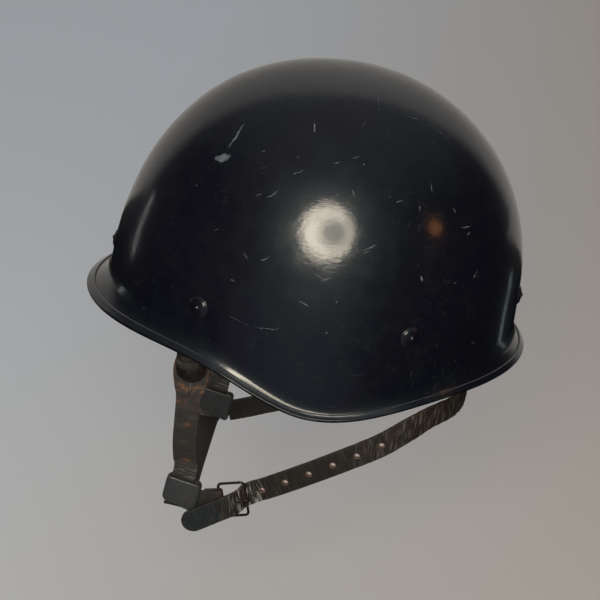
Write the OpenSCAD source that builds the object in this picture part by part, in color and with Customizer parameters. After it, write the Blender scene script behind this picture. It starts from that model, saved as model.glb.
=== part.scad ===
// Pressed steel helmet with riveted leather liner, chin strap and nape strap.
// Frame: origin at the centre of the rivet plane, front towards -Y,
// wearer's left towards +X, crown towards +Z. Angles round the shell run from
// 0 at the front, through 90 at the wearer's left, to 180 at the back.

/* [Shell] */
// Reach of the dome to the front
front_reach = 137.5; // [125:0.5:150]
// Reach of the dome to the back
back_reach = 123; // [112:0.5:135]
// Reach of the dome to each side
side_reach = 104.7; // [96:0.5:114]
// Height of the crown above the rivet plane
crown_z = 132.6; // [120:0.5:145]
// Thickness of the pressed steel
shell_wall = 1.3; // [1:0.1:1.8]
// Fullness of the front profile, 2 is an ellipse
front_fullness = 2.23; // [2:0.01:2.5]
// Fullness of the back profile
back_fullness = 2.05; // [2:0.01:2.5]
// Fullness of the side profile
side_fullness = 2.12; // [2:0.01:2.5]
// Level where the front profile is upright
front_upright_z = -39; // [-45:1:-10]
// Level where the back profile is upright
back_upright_z = 8.5; // [0:0.5:15]
// Level where the side profile is upright
side_upright_z = -15.4; // [-25:0.1:0]

/* [Rim] */
// Level of the rim at the front
rim_front_z = -25.8; // [-30:0.1:-22]
// Level of the rim at the back
rim_back_z = -34.1; // [-40:0.1:-28]
// Extra depth of the rim over the ears
ear_drop = 25.8; // [12:0.1:30]
// Angle of the lowest point of the rim
ear_angle = 93.4; // [85:0.1:105]
// Spread of the ear drop towards the front, degrees
ear_spread_front = 22.8; // [15:0.1:26]
// Spread of the ear drop towards the back, degrees
ear_spread_back = 32; // [18:0.1:36]
// Angle where the rim starts to fall to its back level
rim_fall_start = 67.5; // [50:0.5:75]
// Angle where the rim has reached its back level
rim_fall_end = 148; // [125:1:165]
// Mean outward reach of the flare
flare_reach = 7.4; // [6:0.1:9]
// Extra flare at the front, less of it at the back
flare_front_extra = 2.7; // [0:0.1:4]
// Extra flare at front and back, less of it at the sides
flare_end_extra = 3; // [2:0.1:4]
// Height over which the wall flares out
flare_height = 17; // [12:0.5:20]
// Height of the folded edge strip
binding_height = 4; // [3:0.1:5]
// Thickness of the folded edge strip
binding_wall = 0.9; // [0.6:0.1:1.2]

/* [Rivets] */
// Angle of the side rivets from the front and from the back
rivet_angle = 60.5; // [55:0.5:65]
// Diameter of the domed rivet heads
rivet_head_d = 11.5; // [9:0.1:13]
// Height of the domed rivet heads
rivet_head_h = 1.9; // [1.2:0.1:2.6]
// Diameter of the rivet shanks
rivet_shank_d = 4; // [3:0.1:5]
// Diameter of the washers under the rivet tails
washer_d = 9; // [8:0.1:11]
// Thickness of the washers
washer_h = 0.8; // [0.5:0.1:1.2]
// Diameter of the spacer bushes
spacer_d = 11; // [9:0.1:13]

/* [Liner] */
// Space between the shell and the liner hoop
hoop_space = 12; // [10:0.5:14]
// Height of the liner hoop
hoop_height = 26; // [22:0.5:30]
// Thickness of the liner hoop
hoop_wall = 1.2; // [0.8:0.1:1.6]
// Thickness of the felt pads
felt_wall = 5; // [4:0.5:7]
// Height of the felt pads
felt_height = 17; // [12:0.5:17]
// Thickness of the liner leather
liner_leather = 1.6; // [1.2:0.1:2]
// Height of the sweatband
band_height = 32; // [30:0.5:36]
// Height of the sweatband's turn-up outside the hoop
turn_up = 6; // [4:0.5:7]
// Number of liner tongues
tongue_count = 8; // [6:1:8]
// Width of a tongue at the sweatband
tongue_width = 50; // [40:1:54]
// Width of a tongue at its tip
tongue_tip_width = 13; // [10:1:15]
// Length of a tongue's sewn foot
tongue_foot = 10; // [8:0.5:11]
// Distance from the crown of the shell to the crown lace
crown_space = 20; // [16:0.5:26]
// Radius of the crown lace's ring
lace_ring_r = 28; // [24:0.5:34]
// Diameter of the crown lace
lace_d = 2.6; // [2:0.1:3]

/* [Tabs and studs] */
// Thickness of the chin strap hangers
lug_wall = 1.2; // [1:0.1:1.6]
// Width of the chin strap hangers
lug_width = 13; // [11:0.5:14]
// Distance of the hangers' lower face in from the reach to the side
lug_inset = 24.9; // [24:0.1:26]
// Level of the tab pivot
pivot_z = -19; // [-20:0.5:-18]
// Fore and aft position of the tab pivot
pivot_y = -70; // [-72:0.5:-68]
// Diameter of the tab pivot shank
pivot_d = 4; // [3:0.1:5]
// Level of the stud
stud_z = -42.5; // [-45:0.5:-42]
// Fore and aft position of the stud
stud_y = -68; // [-69:0.5:-67]
// Diameter of the stud's domed head
stud_head_d = 19; // [16:0.5:20]
// Height of the stud's domed head
stud_head_h = 6; // [5:0.5:6.5]
// Diameter of the stud's shank
stud_shank_d = 5; // [4:0.1:6]

/* [Straps] */
// Width of every strap
strap_width = 15; // [13:0.5:16]
// Thickness of the strap leather
strap_wall = 2; // [1.6:0.1:2.2]
// Width of the button-hole ends of the chin strap
strap_end_width = 22; // [20:0.5:23]
// Side position of the chin strap at the keepers
keeper_x = 65.5; // [62:0.5:69]
// Fore and aft position of the keepers
keeper_y = -71.3; // [-74:0.1:-69]
// Level of the keepers' centre
keeper_z = -138; // [-142:0.5:-134]
// Forward lean of the chin strap at the keepers, degrees
keeper_lean = 9; // [5:0.5:12]
// Width of a keeper
keeper_width = 23; // [22:0.5:25]
// Height of a keeper at its front edge
keeper_front_height = 17.5; // [16:0.5:19]
// Height of a keeper at its back edge
keeper_back_height = 20.5; // [18:0.5:22]
// Travel of the keepers up the chin strap
keeper_travel = 5; // [2:0.5:6]
// Level of the chin strap under the chin
chin_z = -170; // [-178:1:-166]
// Fore and aft position of the chin strap under the chin
chin_y = -76; // [-82:1:-72]
// Fore and aft position of the nape strap at the nape
nape_y = 99.4; // [94:0.2:104]
// Level of the nape strap at the nape
nape_z = -60; // [-64:0.5:-56]
// Half width of the nape strap's loop at the neck
nape_x = 71.8; // [68:0.2:75]
// Diameter of the nape strap's holes
strap_hole_d = 3.4; // [2.5:0.1:4]
// Spacing of the nape strap's holes
strap_hole_pitch = 16.9; // [14:0.1:18]
// Number of open holes behind the buckle
strap_hole_count = 6; // [4:1:7]

/* [Buckle] */
// Length of the buckle frame along the strap
buckle_length = 18.5; // [16:0.5:20]
// Height of the buckle frame across the strap
buckle_height = 25; // [22:0.5:27]
// Diameter of the buckle wire
wire_d = 1.7; // [1.4:0.1:2]
// Outer corner radius of the buckle frame
buckle_corner_r = 3.2; // [2:0.1:5]
// Slope of the buckle and its tab, degrees
buckle_slope = 13.5; // [8:0.5:18]
// Fore and aft position of the buckle's hinge bar
hinge_y = -44.9; // [-47:0.1:-43]
// Level of the buckle's hinge bar
hinge_z = -141.4; // [-144:0.1:-139]
// Side position of the buckle's hinge bar
hinge_x = 66; // [65.5:0.1:67]

/* [Clearances] */
// Gap between moving pieces
move_gap = 0.4; // [0.3:0.05:0.5]
// Radial clearance of a pin in its bore
pin_gap = 0.06; // [0.02:0.01:0.1]
// Gap between pieces that are clamped together
seat_gap = 0.05; // [0.02:0.01:0.1]

/* [Hidden] */

// Colours as the photo shows them
paint_colour = [0.07, 0.07, 0.10];
steel_colour = [0.45, 0.45, 0.46];
leather_colour = [0.12, 0.10, 0.09];
liner_colour = [0.42, 0.27, 0.16];
felt_colour = [0.55, 0.53, 0.48];
lace_colour = [0.80, 0.76, 0.66];
japan_colour = [0.10, 0.07, 0.05];

strap_half = strap_width / 2;

// Divisions round the shell and round the liner ovals
around = 72;
oval_steps = 72;
// Rows of the dome above the flare, and the flare's rows as shares of its height
dome_rows = 13;
binding_share = 1 - binding_height / norm([flare_height, 2 * flare_reach]);
flare_rows = [0.22, 0.42, 0.6, binding_share, 1];
row_count = dome_rows + len(flare_rows);
// Step of the finite differences that give surface normals
tiny = 0.01;
// Fineness of the small round parts
fine = 48;

function ease(t) = let(c = max(0, min(1, t))) c * c * (3 - 2 * c);
function unit(v) = v / norm(v);
function mix(a, b, t) = a + (b - a) * t;
function fold(u) = acos(cos(u));

// Share of the full section that is left at level z, 1 where the wall is upright
function share(z, upright_z, fullness, top) =
    let(q = max(0, min(1, (z - upright_z) / (top - upright_z))))
    pow(max(0, 1 - pow(q, fullness)), 1 / fullness);

// Point of the plain dome at angle u and level z
function dome_point(u, z) =
    let(front = cos(u) > 0,
        reach = front ? front_reach * share(z, front_upright_z, front_fullness, crown_z)
                      : back_reach * share(z, back_upright_z, back_fullness, crown_z))
    [side_reach * share(z, side_upright_z, side_fullness, crown_z) * sin(u),
     -reach * cos(u), z];

// Level of the rim at angle u: front level, fall to the back, and the ear drop
function rim_z(u) =
    let(a = fold(u), spread = a < ear_angle ? ear_spread_front : ear_spread_back)
    mix(rim_front_z, rim_back_z, ease((a - rim_fall_start) / (rim_fall_end - rim_fall_start)))
    - ear_drop * exp(-pow((a - ear_angle) / spread, 2));
function flare(u) = flare_reach + flare_front_extra * cos(u) + flare_end_extra * cos(2 * u);

// Outer face of the shell: s runs 0..1 down the dome and 1..2 down the flare
function outer_point(u, s) =
    let(start = rim_z(u) + flare_height,
        z = s <= 1 ? start + (crown_z - start) * cos(90 * s) : start - flare_height * (s - 1),
        out = s <= 1 ? 0 : flare(u) * pow(s - 1, 2))
    dome_point(u, z) + out * [sin(u), -cos(u), 0];
function outer_normal(u, s) =
    let(du = outer_point(u + 1, s) - outer_point(u - 1, s),
        ds = outer_point(u, min(2, s + tiny)) - outer_point(u, max(0, s - tiny)))
    unit(cross(ds, du));
function down_slope(u, s) =
    unit(outer_point(u, min(2, s + tiny)) - outer_point(u, max(0, s - tiny)));
// A point off the outer face by d outwards and past the edge by e
function off_point(u, s, d, e = 0) =
    outer_point(u, s) + d * outer_normal(u, s) + e * down_slope(u, s);

function row_at(i) = i <= dome_rows ? i / dome_rows : 1 + flare_rows[i - dome_rows - 1];

// Faces of rings that follow each other: each ring has m points, the last ring
// joins the first when closed
function ring_faces(rings, m, closed_loop) =
    [for (r = [0 : rings - (closed_loop ? 1 : 2)]) for (i = [0 : m - 1])
        let(a = r * m + i, b = r * m + (i + 1) % m,
            c = ((r + 1) % rings) * m + (i + 1) % m, d = ((r + 1) % rings) * m + i)
        each [[a, c, b], [a, d, c]]];
// Flat ends, as strips between points i and m - 1 - i of the end rings
function cap_faces(rings, m) =
    [for (i = [0 : m / 2 - 2]) let(far = (rings - 1) * m)
        each [[i, m - 2 - i, m - 1 - i], [i, i + 1, m - 2 - i],
              [far + i, far + m - 2 - i, far + i + 1], [far + i, far + m - 1 - i, far + m - 2 - i]]];

// Solid swept through rings of equal length, with flat ends
module skin(rings) {
    m = len(rings[0]);
    polyhedron([for (r = rings) each r],
               concat(ring_faces(len(rings), m, false), cap_faces(len(rings), m)));
}
// Solid swept through rings that close on themselves
module loop_skin(rings) {
    m = len(rings[0]);
    polyhedron([for (r = rings) each r], ring_faces(len(rings), m, true));
}

// Children placed on the shell's outer face at the rivet level, +Z outwards
module on_shell(u) {
    p = dome_point(u, 0);
    du = dome_point(u + 1, 0) - dome_point(u - 1, 0);
    dz = dome_point(u, 1) - dome_point(u, -1);
    n = unit(cross(du, dz));
    x = unit(du);
    y = cross(n, x);
    multmatrix([[x[0], y[0], n[0], p[0]], [x[1], y[1], n[1], p[1]], [x[2], y[2], n[2], p[2]]])
        children();
}
rivet_angles = [0, rivet_angle, 180 - rivet_angle, 180, 180 + rivet_angle, 360 - rivet_angle];

// Plan of the liner ovals, inset from the shell's outer section at rivet level
front_plan = -dome_point(0, 0)[1];
back_plan = dome_point(180, 0)[1];
side_plan = dome_point(90, 0)[0];
function oval_point(u, inset) =
    [(side_plan - inset) * sin(u), -((cos(u) > 0 ? front_plan : back_plan) - inset) * cos(u)];
function oval(inset, from = 0, to = 360) =
    let(n = ceil((to - from) * oval_steps / 360))
    [for (i = [0 : n - (to - from == 360 ? 1 : 0)]) oval_point(from + (to - from) * i / n, inset)];
hoop_inset = shell_wall + hoop_space;
felt_inset = hoop_inset + hoop_wall + seat_gap;
band_inset = felt_inset + felt_wall + seat_gap;
hoop_bottom = -hoop_height / 2;
band_bottom = hoop_bottom - liner_leather - seat_gap;

module oval_wall(inset, wall, low, height) {
    translate([0, 0, low])
        linear_extrude(height)
            difference() {
                polygon(oval(inset));
                polygon(oval(inset + wall));
            }
}

module shell() color(paint_colour) difference() {
    shell_body();
    for (u = rivet_angles)
        on_shell(u)
            cylinder(h = 8 * shell_wall, d = rivet_shank_d + 2 * seat_gap, center = true, $fn = fine);
}

// Closed double-walled dome: outer rows down to the edge, inner rows back up
module shell_body() {
    columns = [for (j = [0 : around - 1]) let(u = 360 * j / around)
        concat([for (i = [1 : row_count]) off_point(u, row_at(i), 0)],
               [for (i = [row_count : -1 : 1]) off_point(u, row_at(i), -shell_wall)])];
    m = 2 * row_count;
    points = concat([[0, 0, crown_z], [0, 0, crown_z - shell_wall]], [for (c = columns) each c]);
    walls = [for (j = [0 : around - 1]) let(a = 2 + j * m, b = 2 + ((j + 1) % around) * m)
        each concat([[0, b, a], [1, a + m - 1, b + m - 1]],
                    [for (i = [0 : m - 2])
                        each [[a + i, b + i, a + i + 1], [b + i, b + i + 1, a + i + 1]]])];
    polyhedron(points, walls);
}

// U-shaped strip folded over the edge of the shell
module rim_binding() color(paint_colour) {
    out = seat_gap + binding_wall;
    back = shell_wall + seat_gap;
    top = 1 + binding_share;
    loop_skin([for (j = [0 : around - 1]) let(u = 360 * j / around)
        [off_point(u, top, out), off_point(u, 2, out),
         off_point(u, 2, out - binding_wall / 2, out), off_point(u, 2, -back - binding_wall / 2, out),
         off_point(u, 2, -back - binding_wall), off_point(u, top, -back - binding_wall),
         off_point(u, top, -back), off_point(u, 2, -back, seat_gap),
         off_point(u, 2, seat_gap, seat_gap), off_point(u, top, seat_gap)]]);
}

// Domed head: a low spherical cap of diameter d and height h, on a short skirt
module dome_head(d, h, skirt) {
    rise = h - skirt;
    r = (d * d / 4 + rise * rise) / (2 * rise);
    intersection() {
        translate([0, 0, h - r]) sphere(r = r, $fn = 2 * fine);
        cylinder(h = h, d = d, $fn = fine);
    }
}

// Length from the shell's outer face to the hoop's outer and inner face, along a rivet
function plan_depth(u, inset) =
    let(p = dome_point(u, 0), du = dome_point(u + 1, 0) - dome_point(u - 1, 0),
        dz = dome_point(u, 1) - dome_point(u, -1), n = unit(cross(du, dz)),
        a = side_plan - inset, b = (cos(u) > 0 ? front_plan : back_plan) - inset,
        k2 = pow(n[0] / a, 2) + pow(n[1] / b, 2),
        k1 = p[0] * n[0] / (a * a) + p[1] * n[1] / (b * b),
        k0 = pow(p[0] / a, 2) + pow(p[1] / b, 2) - 1)
    (k1 - sqrt(k1 * k1 - k2 * k0)) / k2;
tail_depth = 1.2;

module shell_rivets() color(paint_colour)
    for (u = rivet_angles)
        on_shell(u) {
            translate([0, 0, seat_gap]) dome_head(rivet_head_d, rivet_head_h, 0.5);
            depth = plan_depth(u, hoop_inset + hoop_wall) + washer_h + 3 * seat_gap;
            translate([0, 0, -depth]) cylinder(h = depth + 0.5, d = rivet_shank_d, $fn = fine);
            translate([0, 0, -depth]) mirror([0, 0, 1]) dome_head(1.6 * rivet_shank_d, tail_depth, 0.3);
        }

// Space on one side of an oval: a prism tall enough to trim anything at the hoop
module inside_oval(inset)
    translate([0, 0, -hoop_height]) linear_extrude(2 * hoop_height) polygon(oval(inset));

// Ring round a rivet axis, from one depth below the shell's outer face to another
module rivet_ring(u, shallow, deep, d) on_shell(u)
    translate([0, 0, -deep])
        difference() {
            cylinder(h = deep - shallow, d = d, $fn = fine);
            translate([0, 0, -1])
                cylinder(h = deep - shallow + 2, d = rivet_shank_d + 2 * seat_gap, $fn = fine);
        }

// Washers trimmed to the hoop's inner face
module rivet_washers() color(steel_colour)
    for (u = rivet_angles) {
        depth = plan_depth(u, hoop_inset + hoop_wall);
        intersection() {
            rivet_ring(u, depth - hoop_wall / 2, depth + washer_h + seat_gap, washer_d);
            inside_oval(hoop_inset + hoop_wall + seat_gap);
        }
    }

// Turned bushes that keep the hoop off the shell; the two at the hangers are shorter
bush_seat = 0.55;
module spacer_bushes() color(steel_colour)
    for (u = rivet_angles) {
        at_lug = u == rivet_angle || u == 360 - rivet_angle;
        depth = plan_depth(u, hoop_inset);
        end = at_lug ? depth - lug_wall - 2 * seat_gap : depth + hoop_wall / 2;
        difference() {
            rivet_ring(u, shell_wall + bush_seat, end, spacer_d);
            inside_oval(hoop_inset - seat_gap);
        }
    }

module liner_hoop() color(steel_colour) difference() {
    oval_wall(hoop_inset, hoop_wall, hoop_bottom, hoop_height);
    for (u = rivet_angles)
        on_shell(u)
            translate([0, 0, -hoop_inset - 4 * hoop_wall])
                cylinder(h = 8 * hoop_wall, d = rivet_shank_d + 2 * seat_gap, $fn = fine);
}

// Leather band inside the felt, turned out under the hoop and up its outer side
module sweatband() color(liner_colour) difference() {
    union() {
        oval_wall(band_inset, liner_leather, band_bottom, band_height);
        oval_wall(hoop_inset - liner_leather - seat_gap, band_inset - hoop_inset + liner_leather + 1,
                  band_bottom, liner_leather);
        oval_wall(hoop_inset - liner_leather - seat_gap, liner_leather, band_bottom, turn_up);
    }
    // Notches in the turn-up where the chin strap hangers pass
    for (side = [1, -1])
        on_side(side)
            difference() {
                translate([side_plan - 40, pivot_y - lug_width / 2 - 2, band_bottom - 1])
                    cube([40, 2 * lug_width + 4, turn_up + 2]);
                translate([0, 0, band_bottom - 2]) linear_extrude(turn_up + 4) polygon(oval(hoop_inset));
            }
}

module felt_pads() color(felt_colour)
    for (k = [0 : 5]) {
        mid = 30 + 60 * k;
        translate([0, 0, hoop_bottom])
            linear_extrude(felt_height)
                polygon(concat(oval(felt_inset, mid - 20, mid + 20),
                               reverse(oval(felt_inset + felt_wall, mid - 20, mid + 20))));
    }
function reverse(list) = [for (i = [len(list) - 1 : -1 : 0]) list[i]];

// Liner tongues: each lies against the sweatband, bows up inside the shell and
// ends level at the crown lace
lace_z = crown_z - shell_wall - crown_space;
bow_z = band_bottom + band_height;
tongue_inset = band_inset - 6 * seat_gap - liner_leather / 2;
casing_r = lace_d / 2 + move_gap;
tongue_rows = 10;
tongue_columns = 4;
function oval_radius(a) =
    let(rx = side_plan - tongue_inset, ry = (cos(a) > 0 ? front_plan : back_plan) - tongue_inset)
    1 / norm([sin(a) / rx, cos(a) / ry]);
function tongue_point(a, t) =
    let(tip = lace_ring_r + casing_r + liner_leather / 3, bow = max(0, t),
        rho = tip + (oval_radius(a) - tip) * pow(cos(90 * bow), 2 / 2.3),
        z = t < 0 ? bow_z + t * tongue_foot : bow_z + (lace_z - bow_z) * pow(sin(90 * bow), 2 / 2.3))
    [rho * sin(a), -rho * cos(a), z];
function tongue_normal(a, t) =
    let(e = 0.02, ds = tongue_point(a, min(1, t + e)) - tongue_point(a, t - e),
        du = tongue_point(a + 1, t) - tongue_point(a - 1, t))
    unit(cross(du, ds));
// Width along the tongue: full at the foot, drawn in to the tip
function tongue_half(t) = t < 0 ? tongue_width / 2
    : mix(tongue_width, tongue_tip_width, pow(ease(t), 0.8)) / 2;

module tongue(mid) {
    steps = concat([-1], [for (i = [0 : tongue_rows]) i / tongue_rows]);
    rings = [for (t = steps)
        let(spread = tongue_half(t) / norm([tongue_point(mid, t)[0], tongue_point(mid, t)[1]]) * 180 / PI,
            face = function (side) [for (k = [0 : tongue_columns])
                let(a = mid + spread * (2 * k / tongue_columns - 1))
                tongue_point(a, t) + side * liner_leather / 2 * tongue_normal(a, t)])
        concat(face(1), reverse(face(-1)))];
    skin(rings);
}

// Turned-over tip that the lace runs through
module casing(mid) {
    sweep_angle = tongue_tip_width / lace_ring_r * 180 / PI;
    translate([0, 0, lace_z])
        rotate([0, 0, mid - 90 - sweep_angle / 2])
            rotate_extrude(angle = sweep_angle, $fn = 2 * fine)
                translate([lace_ring_r, 0])
                    difference() {
                        circle(r = casing_r + liner_leather, $fn = 32);
                        circle(r = casing_r, $fn = 32);
                    }
}

module liner_tongues() color(liner_colour)
    for (k = [0 : tongue_count - 1]) {
        mid = 360 * (k + 0.5) / tongue_count;
        tongue(mid);
        casing(mid);
    }

// Drawstring ring with a knot and two short ends at the back
module crown_lace() color(lace_colour)
    translate([0, 0, lace_z]) {
        rotate_extrude($fn = 2 * fine)
            translate([lace_ring_r, 0]) circle(d = lace_d, $fn = 24);
        translate([0, lace_ring_r, 0]) {
            sphere(d = 2.2 * lace_d, $fn = 32);
            for (side = [-1, 1])
                rotate([180 + 18, side * 24, 0]) {
                    cylinder(h = 12 * lace_d, d = lace_d, $fn = 24);
                    translate([0, 0, 12 * lace_d]) sphere(d = lace_d, $fn = 24);
                }
        }
    }

// Chin strap hangers: clamped under the front-side rivets, bent to face sideways
lug_x = side_reach - lug_inset;
lug_inner_x = lug_x - lug_wall;
module on_side(side) mirror([side > 0 ? 0 : 1, 0, 0]) children();

lug_bend_high = -6;
lug_bend_low = pivot_z + strap_half + 0.5;
lug_end = lug_width / 2;
module lug_upper(low, high)
    on_shell(rivet_angle)
        translate([-lug_width / 2, low, -plan_depth(rivet_angle, hoop_inset) + seat_gap])
            cube([lug_width, high - low, lug_wall]);
module lug_lower(low, high)
    translate([lug_inner_x, pivot_y - lug_width / 2, low]) cube([lug_wall, lug_width, high - low]);

module hanger(side) on_side(side) difference() {
    union() {
        lug_upper(lug_bend_high, lug_end);
        hull() {
            lug_upper(lug_bend_high, lug_bend_high + 0.2);
            lug_lower(lug_bend_low - 0.2, lug_bend_low);
        }
        lug_lower(pivot_z, lug_bend_low);
        translate([lug_inner_x, pivot_y, pivot_z])
            rotate([0, 90, 0]) cylinder(h = lug_wall, d = lug_width, $fn = fine);
    }
    on_shell(rivet_angle)
        translate([0, 0, -hoop_inset - 2])
            cylinder(h = hoop_inset, d = rivet_shank_d + 2 * seat_gap, $fn = fine);
    inside_oval(hoop_inset - seat_gap);
    translate([lug_inner_x - 1, pivot_y, pivot_z])
        rotate([0, 90, 0]) cylinder(h = lug_wall + 2, d = pivot_d + 2 * seat_gap, $fn = fine);
}
module hanger_left() color(steel_colour) hanger(1);
module hanger_right() color(steel_colour) hanger(-1);

// Folded leather tab: back layer carries the stud, front layer is a flap over it
tab_in = lug_x + move_gap;
tab_mid = tab_in + strap_wall;
tab_out = tab_mid + strap_wall;
end_in = tab_mid + move_gap;
end_out = end_in + strap_wall;
stud_seat = end_out + move_gap;
module along_x(x, y, z) translate([x, y, z]) rotate([0, 90, 0]) children();

module pivot_rivet(side) on_side(side) {
    head = tab_out + move_gap;
    along_x(head, pivot_y, pivot_z) dome_head(2.2 * pivot_d, 1.6, 0.4);
    along_x(lug_inner_x - seat_gap - 0.3, pivot_y, pivot_z)
        cylinder(h = head - lug_inner_x + seat_gap + 0.8, d = pivot_d, $fn = fine);
    along_x(lug_inner_x - seat_gap, pivot_y, pivot_z)
        mirror([0, 0, 1]) dome_head(1.8 * pivot_d, 1.2, 0.4);
}
module pivot_rivet_left() color(steel_colour) pivot_rivet(1);
module pivot_rivet_right() color(steel_colour) pivot_rivet(-1);

// Points of an arc in the plane, from one angle to another
function arc(centre, r, from, to, n = 8) =
    [for (i = [0 : n]) centre + r * [cos(mix(from, to, i / n)), sin(mix(from, to, i / n))]];

tab_top = pivot_z + strap_half;
tab_foot = stud_z - 12;
flap_end = stud_z + 1.5;
flap_start = stud_z + strap_end_width / 2 + 1.5;
flap_rise = stud_seat + stud_head_h + move_gap - tab_mid;
// Side view of the tab, x outwards and z up
function flap_x(z) =
    let(t = max(0, min(1, (flap_start - z) / (flap_start - flap_end))))
    tab_mid + flap_rise * sin(90 * min(1, 1.25 * t));
module tab_profile() {
    zs = [for (i = [0 : 8]) mix(flap_start, flap_end, i / 8)];
    inner = [for (z = zs) [flap_x(z), z]];
    outer = [for (z = zs) [flap_x(z + 0.6 * strap_wall) + strap_wall, z + 0.15 * strap_wall]];
    polygon(concat([[tab_in, tab_foot], [tab_mid, tab_foot]], inner, reverse(outer),
                   [[tab_out, flap_start + 3]], arc([tab_mid, tab_top - strap_wall], strap_wall, 0, 180)));
}
module tab(side) on_side(side) difference() {
    intersection() {
        translate([0, pivot_y + strap_width / 2, 0])
            rotate([90, 0, 0]) linear_extrude(strap_width) tab_profile();
        along_x(tab_in - 1, 0, 0)
            linear_extrude(flap_rise + 3 * strap_wall)
                polygon(concat(arc([-pivot_z, pivot_y], strap_width / 2, 90, 270, 12),
                               arc([-tab_foot - strap_width / 2, pivot_y], strap_width / 2, -90, 90, 12)));
    }
    along_x(tab_in - 1, pivot_y, pivot_z)
        cylinder(h = 2 * strap_wall + 2, d = pivot_d + 2 * pin_gap, $fn = fine);
    along_x(tab_in - 1, stud_y, stud_z)
        cylinder(h = strap_wall + 1.5, d = stud_shank_d + 2 * seat_gap, $fn = fine);
}
module tab_left() color(leather_colour) tab(1);
module tab_right() color(leather_colour) tab(-1);

// Domed stud with its shank and clinched inner washer
module stud(side) on_side(side) {
    along_x(stud_seat, stud_y, stud_z) dome_head(stud_head_d, stud_head_h, 1.2);
    along_x(tab_in - seat_gap - 1, stud_y, stud_z)
        cylinder(h = stud_seat - tab_in + seat_gap + 2, d = stud_shank_d, $fn = fine);
    along_x(tab_in - seat_gap, stud_y, stud_z)
        mirror([0, 0, 1]) dome_head(2.2 * stud_shank_d, 1.3, 0.6);
}
module stud_left() color(leather_colour) stud(1);
module stud_right() color(leather_colour) stud(-1);

// Strap routes. A station is [position, width direction, half width]; stations
// between the chosen ones come from a Catmull-Rom spline
function spline(p, t) =
    0.5 * (2 * p[1] + (p[2] - p[0]) * t + (2 * p[0] - 5 * p[1] + 4 * p[2] - p[3]) * t * t
           + (3 * p[1] - p[0] - 3 * p[2] + p[3]) * t * t * t);
function spline_route(stations, steps) =
    let(last = len(stations) - 1)
    concat([for (i = [0 : last - 1]) for (k = [0 : steps - 1])
        let(s = [for (j = [-1 : 2]) stations[max(0, min(last, i + j))]], t = k / steps)
        [for (c = [0 : 2]) spline([for (q = s) q[c]], t)]], [stations[last]]);
strap_edge = 0.45;
// Section of a strap at station i of a route: a flat bar with eased corners. A width
// direction that leans along the strap cuts it at a slant, so the bar is wider there
function strap_ring(route, i, wall) =
    let(last = len(route) - 1, along = unit(route[min(last, i + 1)][0] - route[max(0, i - 1)][0]),
        w = unit(route[i][1]), slant = norm(cross(along, w)), n = cross(along, w) / slant,
        half = max(1, route[i][2]) / slant, h = wall / 2, e = strap_edge)
    [for (c = [[half, h - e], [half - e, h], [e - half, h], [-half, h - e],
               [-half, e - h], [e - half, -h], [half - e, -h], [half, e - h]])
        route[i][0] + c[0] * w + c[1] * n];
module strap(route, wall) skin([for (i = [0 : len(route) - 1]) strap_ring(route, i, wall)]);

// Chin strap: from the left stud down the cheek, through the keeper, under the chin
end_mid = end_in + strap_wall / 2;
end_half = strap_end_width / 2;
keeper_dir = [0, -sin(keeper_lean), -cos(keeper_lean)];
keeper_mid = [keeper_x, keeper_y, keeper_z];
keeper_width_dir = [0, cos(keeper_lean), -sin(keeper_lean)];
keeper_low = keeper_front_height / 2 + 0.5;
keeper_high = keeper_front_height / 2 + keeper_travel + 2.5;
below_keeper = keeper_z - keeper_low - 5;
level_y = [0, 1, 0];
chin_left = concat(
    [for (a = [12, 35, 60, 90])
        [[end_mid, stud_y, stud_z + end_half * cos(a)], level_y, end_half * sin(a)]],
    [[[end_mid, stud_y, stud_z - 6], level_y, end_half],
     [[end_mid, stud_y, stud_z - 14], level_y, mix(strap_half, end_half, 0.6)],
     [[end_mid - 1.2, stud_y - 0.4, stud_z - 22], level_y, mix(strap_half, end_half, 0.1)],
     [[end_mid - 5, stud_y - 1.2, stud_z - 38], level_y, strap_half],
     [[keeper_x + 6.5, keeper_y + 1.2, stud_z - 58], level_y, strap_half],
     [[keeper_x + 1.2, keeper_y + 1.6, stud_z - 72], level_y, strap_half],
     [keeper_mid - keeper_high * keeper_dir, keeper_width_dir, strap_half],
     [keeper_mid, keeper_width_dir, strap_half],
     [keeper_mid + keeper_low * keeper_dir, keeper_width_dir, strap_half],
     [keeper_mid + (keeper_low + 3.2) * keeper_dir - [1.6, 0, 0], keeper_width_dir, strap_half],
     [[keeper_x - 6, mix(keeper_y, chin_y, 0.6), below_keeper - 0.2], level_y, strap_half],
     [[0.6 * keeper_x, mix(keeper_y, chin_y, 0.8), mix(below_keeper, chin_z, 0.4)], level_y, strap_half],
     [[0.3 * keeper_x, chin_y, mix(below_keeper, chin_z, 0.8)], level_y, strap_half]]);
chin_route = spline_route(concat(chin_left, [[[0, chin_y, chin_z], level_y, strap_half]],
    [for (s = reverse(chin_left)) [[-s[0][0], s[0][1], s[0][2]], s[1], s[2]]]), 2);
slit_width = 1.2;
slit_end = stud_z - stud_head_d;

module chin_strap() color(leather_colour) difference() {
    strap(chin_route, strap_wall);
    for (side = [1, -1])
        on_side(side) {
            // The right stud is the open pivot, so its hole is wider
            play = side > 0 ? pin_gap : move_gap;
            along_x(end_in - 2, stud_y, stud_z)
                cylinder(h = strap_wall + 4, d = stud_shank_d + 2 * play, $fn = fine);
            translate([end_in - 2, stud_y - slit_width / 2, slit_end])
                cube([strap_wall + 4, slit_width, stud_z - slit_end]);
        }
}

// Leather keepers that slide on the chin strap
keeper_wall = 2;
keeper_out = strap_wall / 2 + move_gap + keeper_wall;
keeper_front = strap_half + move_gap + keeper_wall;
keeper_back = keeper_width - keeper_front;
// Local frame of a keeper: x outwards, y towards the back, z up along the strap
module keeper_place() translate(keeper_mid) rotate([-keeper_lean, 0, 0]) children();
keeper_corner = 3;
keeper_edge = 2.2;
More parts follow.
